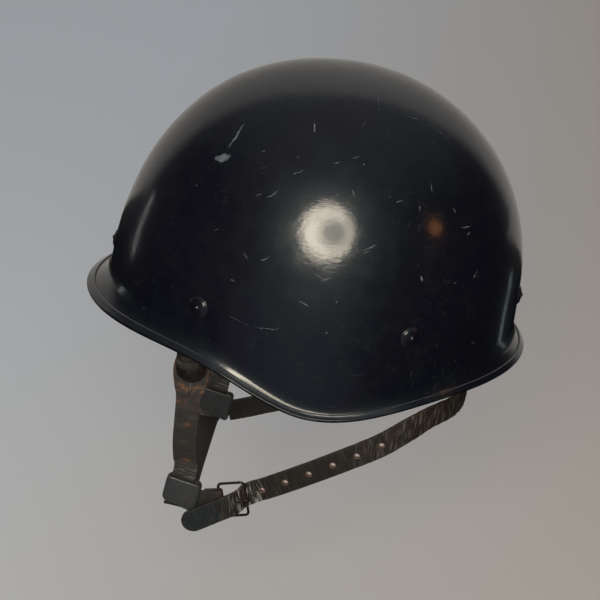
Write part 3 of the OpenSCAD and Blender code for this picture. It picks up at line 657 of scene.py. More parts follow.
@dataclass(frozen=True)
class Enamel(Finish):
    """Glossy baked enamel on pressed steel.

    Stoved black paint with a blue cast: a clear hard skin over a slightly milky base, so
    a lamp shows as a soft disc inside a wide haze. Years of handling leave fine rubbing,
    dust specks and pale scratches.

    Attributes:
        base: Colour in the middle of the paint.
        warm: Colour where the paint leans to violet.
        gloss: Roughness of the clear skin.
        haze: Roughness of the worn layer below it.
    """

    name: str = "stoved_black_enamel"
    base: str = "#0b0d17"
    warm: str = "#0f0c18"
    gloss: float = 0.12
    haze: float = 0.39

    def surface(self, add: Adder, place: Any) -> Any:
        """Links the cast, the dust film, the hairline scratches, the specks, and the chipped paint with a painted
        highlight line along the strip's edge.

        Args:
            add: Adds nodes to the material.
            place: Object coordinates in metres.

        Returns:
            The shader.
        """
        cast = add("TexNoise", {"Vector": place, "Scale": per_metre(90)})
        cast = add("MapRange", {0: cast, 1: 0.40, 2: 0.60})
        tone = add("Mix", {0: cast, 6: colour(self.base), 7: colour(self.warm)})
        # Dust and rubbing in patches about 12 mm wide, seen as a faint grey film
        film = add("TexNoise", {"Vector": place, "Scale": per_metre(12), "Detail": 6, "Roughness": 0.65})
        film = add("MapRange", {0: film, 1: 0.45, 2: 0.85})
        # Fine wiping scratches in three directions, drawn 0.9 mm wide so that they show at
        # the photograph's scale, and gathered in patches
        marks = 0.0
        for turn in (0.25, 1.2, 2.3):
            spun = add("Mapping", {"Vector": place, "Rotation": (turn, 0.0, 0.4 * turn)})
            drawn = add("Mapping", {"Vector": spun, "Scale": (0.3, 1.0, 0.10)})
            line = add("TexNoise", {"Vector": drawn, "Scale": per_metre(0.9), "Detail": 1})
            line = add("MapRange", {0: line, 1: 0.68, 2: 0.84})
            where = add("TexNoise", {"Vector": spun, "Scale": per_metre(22), "Detail": 3})
            where = add("MapRange", {0: where, 1: 0.46, 2: 0.62})
            both = add("Math", {0: line, 1: where}, operation="MULTIPLY")
            marks = add("Math", {0: marks, 1: both}, operation="MAXIMUM")
        # Pin specks under 1 mm
        speck = add("TexNoise", {"Vector": place, "Scale": per_metre(1.6), "Detail": 1})
        speck = add("MapRange", {0: speck, 1: 0.78, 2: 0.86})
        # Paint rubbed and chipped along the strip's upper edge, broken up in patches. The same pale marks also draw a
        # thin painted highlight line along that edge, standing in for the light that its step catches.
        chips_and_edge_highlight = add("TexNoise", {"Vector": place, "Scale": per_metre(7), "Detail": 5, "Roughness": 0.7})
        chips_and_edge_highlight = add("MapRange", {0: chips_and_edge_highlight, 1: 0.30, 2: 0.75, 3: 0.25, 4: 1.0})
        chips_and_edge_highlight = add("Math", {0: chips_and_edge_highlight, 1: add("Attribute", out="Fac", attribute_name="edge")}, operation="MULTIPLY")
        for share, mask, pale in ((0.012, film, "#7f949a"), (0.06, marks, "#a9b4b4"), (0.20, speck, "#a7aaa6"),
                                  (0.45, chips_and_edge_highlight, "#85888c")):
            mask = add("Math", {0: mask, 1: share}, operation="MULTIPLY")
            tone = add("Mix", {0: mask, 6: tone, 7: colour(pale)})
        rough = add("MapRange", {0: film, 3: self.haze, 4: self.haze + 0.10})
        # Rubbed patches blur the clear skin's reflections
        skin_rough = add("MapRange", {0: film, 3: self.gloss, 4: self.gloss + 0.12})
        # Slight waviness of the paint, 3 mm ripples on 26 mm swells, under fine wiping marks
        normal = None
        for size, strength, depth, long in ((3.0, 0.06, 0.0004, 1.0), (26.0, 0.05, 0.004, 1.0),
                                            (1.3, 0.30, 0.0001, 0.35)):
            drawn = add("Mapping", {"Vector": place, "Rotation": (0.5, 0.0, 0.0), "Scale": (1.0, long, 1.0)})
            height = add("TexNoise", {"Vector": drawn, "Scale": per_metre(size), "Detail": 3})
            inputs = {"Height": height, "Strength": strength, "Distance": depth}
            normal = add("Bump", inputs if normal is None else {**inputs, "Normal": normal})
        return add("BsdfPrincipled", {
            "Base Color": tone, "Roughness": rough, "IOR": 1.45, "Specular IOR Level": 0.58,
            "Specular Tint": colour("#a9c3cf"),
            "Coat Weight": 1.0, "Coat Roughness": skin_rough, "Coat IOR": 1.5,
            "Normal": normal, "Coat Normal": normal})


@dataclass(frozen=True)
class BarePrimer(Finish):
    """Paint scraped to its pale chalky undercoat: matt, broken up by the steel's grain."""

    name: str = "scraped_undercoat"
    pale: str = "#939ca4"
    cover: float = 0.40

    def surface(self, add: Adder, place: Any) -> Any:
        """Links the broken-up cover; through the holes in a mark the paint below shows.

        Args:
            add: Adds nodes to the material.
            place: Object coordinates in metres.

        Returns:
            The shader.
        """
        strength = add("Attribute", out="Fac", attribute_name="edge")
        broken = add("TexNoise", {"Vector": place, "Scale": per_metre(0.9), "Detail": 4, "Roughness": 0.7})
        shown = add("Math", {0: broken, 1: strength}, operation="MULTIPLY")
        shown = add("MapRange", {0: shown, 1: 0.24, 2: 0.50, 4: self.cover})
        matt = add("BsdfPrincipled", {"Base Color": colour(self.pale), "Roughness": 0.75})
        return add("MixShader", {0: shown, 1: add("BsdfTransparent"), 2: matt})


@dataclass(frozen=True)
class HarnessLeather(Finish):
    """Black waxed harness leather, worn brown.

    Oak-bark leather dyed black on the grain side. Wax gives a soft sheen. The dye rubs off
    the folds and the raw edges, where the brown of the tanning shows, and hard bends leave
    ridges across the strap whose crests are painted pale: partly dye cracked on the bends,
    partly a painted sheen standing in for the light the crests catch.

    Attributes:
        black: Dyed grain side.
        brown: Tanned leather below the dye.
        sheen: Roughness of the waxed grain.
        creases: Depth of the creases across the strap.
        smooth_end: Length in metres of bluish unworn leather at the start of the strap.
    """

    name: str = "waxed_harness_leather"
    black: str = "#32312f"
    brown: str = "#6d442c"
    sheen: float = 0.40
    creases: float = 1.0
    smooth_end: float = 0.0

    def surface(self, add: Adder, place: Any) -> Any:
        """Links the dye, its wear, the creases and their pale crests (cracked dye and painted sheen) from the "lay",
        "raw", "wear" and crest marks.

        Args:
            add: Adds nodes to the material.
            place: Object coordinates in metres.

        Returns:
            The shader.
        """
        lay = add("Attribute", out="Vector", attribute_name="lay")
        raw, wear, ridge = (add("Attribute", out="Fac", attribute_name=key) for key in ("raw", "wear", "ridge"))
        patchy = add("TexNoise", {"Vector": place, "Scale": per_metre(5), "Detail": 5, "Roughness": 0.65})
        fine = add("TexNoise", {"Vector": place, "Scale": per_metre(0.8), "Detail": 3, "Roughness": 0.6})
        # Creases run across the strap, about 1.3 mm apart: the noise is drawn out across
        drawn = add("Mapping", {"Vector": lay, "Scale": (1.0, 0.13, 0.0)})
        crease = add("TexNoise", {"Vector": drawn, "Scale": per_metre(1.3), "Detail": 4, "Roughness": 0.6})
        # Brown shows on worn stretches in patches, and on raw edges beside them
        both = add("Math", {0: patchy, 1: fine}, operation="ADD")
        open_wear = add("MapRange", {0: both, 1: 0.90, 2: 1.12})
        open_wear = add("Math", {0: open_wear, 1: wear}, operation="MULTIPLY")
        bare = add("MapRange", {0: both, 1: 0.78, 2: 1.05})
        raw = add("Math", {0: raw, 1: bare}, operation="MULTIPLY")
        worn = add("Math", {0: open_wear, 1: raw}, operation="MAXIMUM")
        # Pale crests where the crest mark is set: partly dye cracked on the bends, partly a painted sheen standing in
        # for light on the crests
        crest_wear_and_sheen_mask = add("MapRange", {0: crease, 1: 0.50, 2: 0.62})
        crest_wear_and_sheen_mask = add("Math", {0: crest_wear_and_sheen_mask, 1: ridge}, operation="MULTIPLY")
        tone = colour(self.black)
        if self.smooth_end:
            along = add("SeparateXYZ", {0: lay})
            end = add("MapRange", {0: along, 1: self.smooth_end, 2: 1.25 * self.smooth_end})
            tone = add("Mix", {0: end, 6: colour("#1b2226"), 7: tone})
        dusty = add("MapRange", {0: patchy, 1: 0.40, 2: 0.80, 4: 0.16})
        tanned = add("Mix", {0: fine, 6: colour(self.brown), 7: colour("#85573c")})
        for mask, over in ((dusty, colour("#45413d")), (crest_wear_and_sheen_mask, colour("#96948f")), (worn, tanned)):
            tone = add("Mix", {0: mask, 6: tone, 7: over})
        rough = add("Math", {0: patchy, 1: worn}, operation="ADD")
        rough = add("MapRange", {0: rough, 1: 0.4, 2: 1.4, 3: self.sheen, 4: self.sheen + 0.3})
        # Grain of pores about 0.8 mm wide
        pores = add("TexVoronoi", {"Vector": place, "Scale": per_metre(0.8)}, feature="F1")
        normal = add("Bump", {"Height": pores, "Strength": 0.2, "Distance": 0.0002})
        normal = add("Bump", {"Height": crease, "Strength": 0.55 * self.creases, "Distance": 0.0006,
                              "Normal": normal})
        return add("BsdfPrincipled", {"Base Color": tone, "Roughness": rough, "IOR": 1.48, "Normal": normal})


@dataclass(frozen=True)
class LinerLeather(Finish):
    """Natural vegetable-tanned liner leather: mid brown, matt, darkened by handling."""

    name: str = "natural_liner_leather"
    tan: str = "#8a5f3c"
    dark: str = "#4c2f1c"

    def surface(self, add: Adder, place: Any) -> Any:
        """Links the stains, the burnished "edge" mark and the pores.

        Args:
            add: Adds nodes to the material.
            place: Object coordinates in metres.

        Returns:
            The shader.
        """
        stain = add("TexNoise", {"Vector": place, "Scale": per_metre(26), "Detail": 5, "Roughness": 0.6})
        stain = add("MapRange", {0: stain, 1: 0.35, 2: 0.75})
        tone = add("Mix", {0: stain, 6: colour(self.tan), 7: colour(self.dark)})
        edge = add("Attribute", out="Fac", attribute_name="edge")
        edge = add("MapRange", {0: edge, 4: 0.5})
        tone = add("Mix", {0: edge, 6: tone, 7: colour("#2f1d12")})
        pores = add("TexVoronoi", {"Vector": place, "Scale": per_metre(1.1)}, feature="F1")
        normal = add("Bump", {"Height": pores, "Strength": 0.3, "Distance": 0.0004})
        swell = add("TexNoise", {"Vector": place, "Scale": per_metre(8), "Detail": 3})
        normal = add("Bump", {"Height": swell, "Strength": 0.4, "Distance": 0.0008, "Normal": normal})
        rough = add("MapRange", {0: stain, 3: 0.62, 4: 0.48})
        return add("BsdfPrincipled", {"Base Color": tone, "IOR": 1.46, "Normal": normal, "Roughness": rough})


@dataclass(frozen=True)
class WoolFelt(Finish):
    """Pressed wool felt: grey-buff, with short loose fibres that catch side light."""

    name: str = "pressed_wool_felt"
    wool: str = "#8f8a7e"

    def surface(self, add: Adder, place: Any) -> Any:
        """Links the fibres, about 1.2 mm apart.

        Args:
            add: Adds nodes to the material.
            place: Object coordinates in metres.

        Returns:
            The shader.
        """
        fibre = add("TexNoise", {"Vector": place, "Scale": per_metre(1.2), "Detail": 6, "Roughness": 0.75})
        # The fibre noise that raises the bumps also darkens the felt where the fibres dip: painted shade in the hollows
        tone = add("Mix", {0: fibre, 6: colour("#6f6a60"), 7: colour(self.wool)})
        normal = add("Bump", {"Height": fibre, "Strength": 0.8, "Distance": 0.0008})
        return add("BsdfPrincipled", {"Base Color": tone, "Roughness": 0.95, "Sheen Weight": 0.5,
                                      "Sheen Roughness": 0.4, "Normal": normal})


@dataclass(frozen=True)
class CottonLace(Finish):
    """Waxed cotton lace: pale, with a braid of slanting strands about 1 mm apart, and painted shade between the
    strands.
    """

    name: str = "waxed_cotton_lace"
    cotton: str = "#cfc4a8"

    def surface(self, add: Adder, place: Any) -> Any:
        """Links the two slanting waves of the braid, on the lace's own "lay" mark.

        Args:
            add: Adds nodes to the material.
            place: Object coordinates, which the braid doesn't use.

        Returns:
            The shader.
        """
        lay = add("Attribute", out="Vector", attribute_name="lay")
        braid = 0.0
        for turn in (0.7, -0.7):
            spun = add("Mapping", {"Vector": lay, "Rotation": (0.0, 0.0, turn)})
            wave = add("TexWave", {"Vector": spun, "Scale": per_metre(1.0) / 3.2, "Distortion": 0.4}, "Fac")
            braid = add("Math", {0: braid, 1: wave}, operation="MAXIMUM")
        # The grooves between the strands are darker: painted shade
        tone = add("Mix", {0: braid, 6: colour("#8d8064"), 7: colour(self.cotton)})
        normal = add("Bump", {"Height": braid, "Strength": 0.8, "Distance": 0.0004})
        return add("BsdfPrincipled", {"Base Color": tone, "Roughness": 0.8, "Normal": normal})


@dataclass(frozen=True)
class Mottled(Finish):
    """A plain finish that wear has clouded: two colours in patches over small dents.

    Attributes:
        sound: Colour of the sound surface.
        rubbed: Colour where it is rubbed.
        gloss: Roughness of the sound and of the rubbed surface.
        patch: Size of the patches in millimetres.
        share: Range of the patches' noise over which the one turns to the other.
        dents: Size and depth of the dents in millimetres.
        metallic: 1 for bare metal.
    """

    name: str
    sound: str
    rubbed: str
    gloss: Pair
    patch: float
    share: Pair
    dents: Pair
    metallic: float = 0.0

    def surface(self, add: Adder, place: Any) -> Any:
        """Links the patches and the dents.

        Args:
            add: Adds nodes to the material.
            place: Object coordinates in metres.

        Returns:
            The shader.
        """
        rub = add("TexNoise", {"Vector": place, "Scale": per_metre(self.patch), "Detail": 5, "Roughness": 0.65})
        rub = add("MapRange", {0: rub, 1: self.share[0], 2: self.share[1]})
        tone = add("Mix", {0: rub, 6: colour(self.sound), 7: colour(self.rubbed)})
        rough = add("MapRange", {0: rub, 3: self.gloss[0], 4: self.gloss[1]})
        size, depth = self.dents
        height = add("TexNoise", {"Vector": place, "Scale": per_metre(size), "Detail": 3})
        normal = add("Bump", {"Height": height, "Strength": 0.3, "Distance": depth * METRE})
        return add("BsdfPrincipled", {"Base Color": tone, "Metallic": self.metallic, "Roughness": rough,
                                      "Normal": normal})


# Zinc-plated mild steel gone dull: grey metal under a cloudy white bloom
ZINC_STEEL = Mottled("dull_zinc_plated_steel", "#8d9093", "#5b5d5e", (0.34, 0.62), 6.0, (0.35, 0.75), (0.7, 0.1), 1.0)
# Steel wire under baked brown-black japan: a thick glossy skin, rubbed at the bends
JAPANNED_WIRE = Mottled("japanned_steel_wire", "#221a15", "#4a3b30", (0.20, 0.42), 3.5, (0.50, 0.72), (1.0, 0.15))
# Domed stud covered with thin black leather, rubbed and dented
COVERED_STUD = Mottled("leather_covered_stud", "#191818", "#4a3629", (0.36, 0.65), 4.0, (0.54, 0.72), (3.0, 1.0))


# The shell


@dataclass
class HelmetShell:
    """The pressed steel shell with its folded edge strip, rivets and paint scratches.

    The dome is a superellipse in each profile and an ellipse in plan. Over its last stretch
    the wall flares out with a power of the depth, which grows from 2 at the front and back
    to 5.6 below the ears, where the edge turns out sharply.
    """

    enamel: Material
    pooled: Material
    primer: Material
    front_reach: float = 137.5
    back_reach: float = 123.0
    side_reach: float = 104.7
    crown: float = 132.6
    wall: float = 1.3
    fullness: Triple = (2.23, 2.05, 2.12)
    upright: Triple = (-39.0, 8.5, -15.4)
    rim_front: float = -25.8
    rim_back: float = -34.1
    ear_drop: float = 25.8
    ear_angle: float = 93.4
    ear_spread: Pair = (22.8, 32.0)
    rim_fall: Pair = (67.5, 148.0)
    flare_reach: float = 7.4
    flare_front: float = 2.7
    flare_end: float = 3.0
    side_tuck: float = 1.0
    ear_snap: float = 2.6
    snap_spread: float = 18.0
    flare_height: float = 17.0
    strip_height: float = 4.0
    strip_wall: float = 0.9
    seat: float = 0.05
    head_r: float = 5.75
    rivet_turns: tuple[float, ...] = (0.0, 60.5, 119.5, 180.0, 240.5, 299.5)
    # Start and end of each scraped mark as angle and place down the wall, width, bow, strength
    scratches: tuple[tuple[float, ...], ...] = (
        (48, 0.549, 55, 0.526, 5.5, 0.05, 0.95), (51.5, 0.520, 50, 0.408, 3, 0.05, 0.8),
        (76.5, 0.109, 90.5, 0.106, 0.6, 0.05, 0.6), (121.5, 0.168, 112, 0.277, 0.7, 0.03, 0.7),
        (105.5, 0.280, 102, 0.329, 0.6, 0.02, 0.7), (80, 0.329, 82, 0.365, 1.2, 0.02, 1.1),
        (65, 0.480, 66, 0.471, 0.9, 0, 0.8), (78, 0.454, 79, 0.451, 0.8, 0, 0.7),
        (78, 0.507, 82, 0.477, 0.7, 0.03, 0.8), (91, 0.441, 94, 0.431, 0.7, 0, 0.8),
        (97.5, 0.418, 101.5, 0.408, 0.7, 0.02, 0.8), (102, 0.428, 103, 0.438, 0.8, 0, 0.7),
        (72, 0.596, 76, 0.556, 0.7, 0.04, 0.8), (127.5, 0.267, 141.5, 0.306, 0.7, 0.08, 0.7),
        (141.5, 0.306, 148, 0.398, 0.7, 0.06, 0.7), (98.5, 0.500, 99.5, 0.526, 0.7, 0, 0.8),
        (127.5, 0.497, 127, 0.530, 0.7, 0, 0.8), (47, 0.642, 48.5, 0.642, 0.8, 0, 0.7),
        (93, 0.517, 95, 0.533, 0.7, 0, 0.7), (102.5, 0.658, 107.5, 0.638, 0.8, 0.02, 0.9),
        (102.5, 0.665, 105.5, 0.655, 0.6, 0, 0.8), (111, 0.523, 111.5, 0.526, 0.9, 0, 0.7),
        (113, 0.540, 116, 0.536, 0.7, 0, 0.8), (121.5, 0.549, 121, 0.576, 0.8, 0, 0.8),
        (134, 0.576, 135, 0.599, 0.8, 0, 0.8), (135.5, 0.635, 141, 0.638, 0.7, 0.02, 0.8),
        (137.5, 0.661, 139.5, 0.651, 0.7, 0, 0.8), (120.5, 0.734, 121, 0.750, 1.2, 0, 1.1),
        (131.5, 0.776, 133, 0.773, 0.8, 0, 0.7), (141.5, 0.757, 139, 0.780, 0.8, 0.02, 0.8),
        (89.5, 0.721, 94.5, 0.734, 0.7, 0.03, 0.8), (91.5, 0.740, 95.5, 0.721, 0.6, 0.02, 0.7),
        (68.5, 0.921, 76, 0.915, 0.5, 0.04, 0.7), (76, 0.915, 84.5, 0.872, 0.5, 0.04, 0.7),
        (41, 1.375, 43, 1.319, 0.8, 0, 0.7), (95, 0.852, 95.5, 0.859, 1, 0, 0.8),
        (59.5, 0.737, 61.5, 0.724, 0.7, 0, 0.7), (69, 0.602, 71, 0.586, 0.7, 0, 0.8),
        (141.5, 0.954, 143, 0.961, 0.8, 0, 0.7), (148, 1.650, 153, 1.690, 0.8, 0, 0.7),
        (68, 0.832, 70, 0.832, 0.7, 0, 0.7), (96.5, 1.560, 101, 1.520, 1.2, 0.05, 0.9),
        (87, 1.600, 90.5, 1.570, 0.9, 0.02, 0.8), (96.5, 0.776, 97.5, 0.786, 0.8, 0, 0.7),
        (86.5, 0.796, 90.5, 0.803, 0.7, 0.02, 0.7), (75, 0.753, 78, 0.724, 0.7, 0.02, 0.8),
        (70, 0.747, 72.5, 0.767, 0.7, 0, 0.7))

    def _share(self, z: Array | float, side: int) -> Array:
        """Part of the full section left at level z: (1 - q^n)^(1/n) above the upright level.

        Args:
            z: Level.
            side: 0 for the front, 1 for the back and 2 for the sides.

        Returns:
            Parts of 1.
        """
        low, n = self.upright[side], self.fullness[side]
        q = np.clip((z - low) / (self.crown - low), 0, 1)
        return np.maximum(0, 1 - q**n) ** (1 / n)

    def dome(self, u: Array | float, z: Array | float) -> Array:
        """Point of the plain dome: the reach goes from the back's to the front's at the ears.

        Args:
            u: Angles in radians from the front.
            z: Levels.

        Returns:
            Points.
        """
        front = ease((np.cos(u) + 0.25) / 0.5)
        reach = (front * self.front_reach * self._share(z, 0)
                 + (1 - front) * self.back_reach * self._share(z, 1))
        return np.stack([self.side_reach * self._share(z, 2) * np.sin(u), -reach * np.cos(u), z + 0 * u], -1)

    def _turn(self, u: Array) -> Array:
        """Angle from the front in degrees, from 0 to 180 on either side."""
        return np.degrees(np.arccos(np.clip(np.cos(u), -1, 1)))

    def rim_level(self, u: Array) -> Array:
        """Level of the rim: front level, fall to the back, and a bell for the ear drop.

        Args:
            u: Angles.

        Returns:
            Levels.
        """
        a = self._turn(u)
        spread = np.where(a < self.ear_angle, *self.ear_spread)
        fall = ease((a - self.rim_fall[0]) / (self.rim_fall[1] - self.rim_fall[0]))
        return (self.rim_front + (self.rim_back - self.rim_front) * fall
                - self.ear_drop * bell(a, self.ear_angle, spread))

    def outer(self, u: Array, s: Array) -> Array:
        """Outer face: s runs 0..1 from the crown down the dome and 1..2 down the flare.

        Args:
            u: Angles in radians.
            s: Places down the wall.

        Returns:
            Points.
        """
        start = self.rim_level(u) + self.flare_height
        flare = (self.flare_reach + self.flare_front * np.cos(u) + self.flare_end * np.cos(2 * u)
                 - self.side_tuck * np.sin(u) ** 2)
        ear = bell(self._turn(u), self.ear_angle + 4.0, self.snap_spread)
        power = 2.5 - 0.5 * np.cos(2 * u) + self.ear_snap * ear
        depth = np.maximum(s - 1, 0)
        z = np.where(s <= 1, start + (self.crown - start) * np.cos(pi / 2 * np.minimum(s, 1)),
                     start - self.flare_height * depth)
        outwards = np.stack([np.sin(u), -np.cos(u), 0 * u], -1)
        return self.dome(u, z) + (flare * depth**power)[..., None] * outwards

    def normal(self, u: Array, s: Array) -> Array:
        """Outward direction: the cross product of the steps down and round the face."""
        around = self.outer(u + 0.01, s) - self.outer(u - 0.01, s)
        return unit(np.cross(self._down(u, s), around))

    def _down(self, u: Array, s: Array) -> Array:
        """Short step down the outer face."""
        return self.outer(u, np.minimum(2, s + 0.005)) - self.outer(u, np.maximum(0, s - 0.005))

    def off(self, u: Array, s: Array, out: Array | float, past: Array | float = 0.0) -> Array:
        """Points of the outer face moved out by one distance and on down the wall by another."""
        out, past = (np.asarray(reach, float)[..., None] for reach in (out, past))
        return self.outer(u, s) + out * self.normal(u, s) + past * unit(self._down(u, s))

    def build_shell(self) -> None:
        """Makes the double-walled dome in fine steps, with both crowns closed."""
        turns = circle(360)
        down = np.concatenate([np.linspace(0, 1, 101)[1:], np.linspace(1, 2, 33)[1:]])
        faces = [self.off(*np.meshgrid(turns, s), out) for s, out in ((down, 0.0), (down[::-2], -self.wall))]
        make_piece("shell_painted", grid(np.concatenate(faces)), self.enamel, "helmet_shell", ["shell"])

    def build_strip(self) -> None:
        """Makes the U-shaped edge strip, with a rounded fold and a stepped upper edge."""
        turns = circle(480)
        run = hypot(self.flare_height, 2 * self.flare_reach)
        top = 2 - self.strip_height / run
        out, back = self.seat + self.strip_wall, self.wall + self.seat
        middle, half = (out - back - self.strip_wall) / 2, (out + back + self.strip_wall) / 2
        rows: list[Triple] = []
        for step in np.linspace(0, 1, 9):
            rows.append((top + (2 - top) * step, out - 0.25 * self.strip_wall * (1 - min(1, 6 * step)) ** 2, 0.0))
        for turn in np.radians(np.linspace(10, 170, 13)):
            rows.append((2.0, middle + half * cos(turn), 0.93 * out * sin(turn)))
        for step in np.linspace(0, 1, 5):
            rows.append((2 + (top - 2) * step, -back - self.strip_wall, 0.0))
        rows += [(top, -back, 0.0), (2.0, -back, self.seat), (2.0, self.seat, self.seat), (top, self.seat, 0.0)]
        points = np.stack([self.off(turns, np.full(turns.shape, s), d, e) for s, d, e in rows])
        # The edge mark along the upper edge of both faces: pale chipped paint, and with it a thin painted highlight
        # line along that edge
        edge = np.zeros(points.shape[:2])
        edge[0], edge[1], edge[-1] = 1.0, 0.35, 1.0
        patch = grid(points, ring=True, marks={"edge": edge})
        make_piece("rim_strip", patch, self.enamel, "helmet_shell", ["rim_binding"])

    def seat_of(self, turn: float) -> tuple[Array, Array]:
        """Place and outward direction of a rivet at an angle in degrees.

        Args:
            turn: The angle.

        Returns:
            The place and the direction.
        """
        u = np.radians(turn)
        around = self.dome(u + 0.01, 0.0) - self.dome(u - 0.01, 0.0)
        rise = self.dome(u, 1.0) - self.dome(u, -1.0)
        return self.dome(u, 0.0), unit(np.cross(around, rise))

    def build_rivet_heads(self) -> None:
        """Makes the low domed heads with the fillet of paint that runs round each.

        The profile falls with a power of the cosine like a flattened dome, has a tighter
        crown in its middle and ends in a thin collar on the shell.
        """
        t = np.linspace(0, 1, 22)
        dome_r, dome_h = self.head_r * np.sin(t * pi / 2), 0.62 + 1.42 * np.cos(t * pi / 2) ** 1.3
        dome_h = dome_h + 0.9 * bell(dome_r, 0, 1.3)
        collar = np.array([[5.8, 0.42], [6.1, 0.2], [6.5, 0.1], [6.7, 0.04], [6.7, -0.5], [0.02, -0.5]])
        profile = np.concatenate([np.stack([np.maximum(dome_r, 0.02), dome_h], -1), collar])
        rubbed = 0.16 * bell(profile[:, 0], 6.2, 0.35)[:, None] + np.zeros((1, TURNED_SIDES))
        heads = []
        for turn in self.rivet_turns:
            place, axis = self.seat_of(turn)
            heads.append(turned(profile, place, axis))
            heads[-1].marks["edge"] = rubbed.ravel()
        make_piece("rivet_heads", joined(heads), self.pooled, "helmet_shell")

    def build_scratches(self) -> None:
        """Makes the scraped marks as thin ribbons 0.04 mm above the paint.

        Each mark is a path in angle and place down the wall, bent a little, with a width
        that swells from its ends to its middle.
        """
        ribbons = []
        t = np.linspace(0, 1, 24)[:, None]
        side = np.linspace(-1, 1, 5)[None]
        for index, (u0, s0, u1, s1, width, bow, bright) in enumerate(self.scratches):
            length = np.array([u1 - u0, s1 - s0])
            bend = bow * np.sin(pi * t) + 0.015 * ripple(6 * t, 0 * t, index)
            half = 0.4 * width * np.sin(pi * np.clip(t, 0.03, 0.97)) ** 0.5
            half = half * (1 + 0.35 * ripple(9 * t, 0 * t, 40 + index))
            # One millimetre is about 0.55 degrees round and 0.0055 down the wall
            run = np.hypot(length[0], 100 * length[1])
            cu, cs = length[0] / run, 100 * length[1] / run
            u = u0 + length[0] * t - (bend * run + side * half * 0.55) * cs
            s = s0 + length[1] * t + (bend * run + side * half * 0.55) * cu / 100
            u, s = np.broadcast_arrays(u, s)
            points = self.off(np.radians(u), s, 0.04)
            strength = np.broadcast_to(
                bright * ((1 - 0.55 * side**2) * np.sin(pi * np.clip(t, 0.02, 0.98)) ** 0.6 + 0.25), u.shape)
            ribbons.append(self._facing_out(grid(points, sheet=True, marks={"edge": strength.copy()})))
        make_piece("paint_scratches", joined(ribbons), self.primer, "helmet_shell")

    def _facing_out(self, ribbon: Patch) -> Patch:
        """An open ribbon with its faces turned away from the middle of the helmet.

        Args:
            ribbon: The ribbon.

        Returns:
            The same ribbon.
        """
        quads = ribbon.faces[0]
        a, b, c = (ribbon.points[quads[:, k]] for k in (0, 1, 2))
        if float(np.einsum("ij,ij->", np.cross(b - a, c - a), a)) < 0:
            ribbon.faces = [block[:, ::-1] for block in ribbon.faces]
        return ribbon


# The head liner


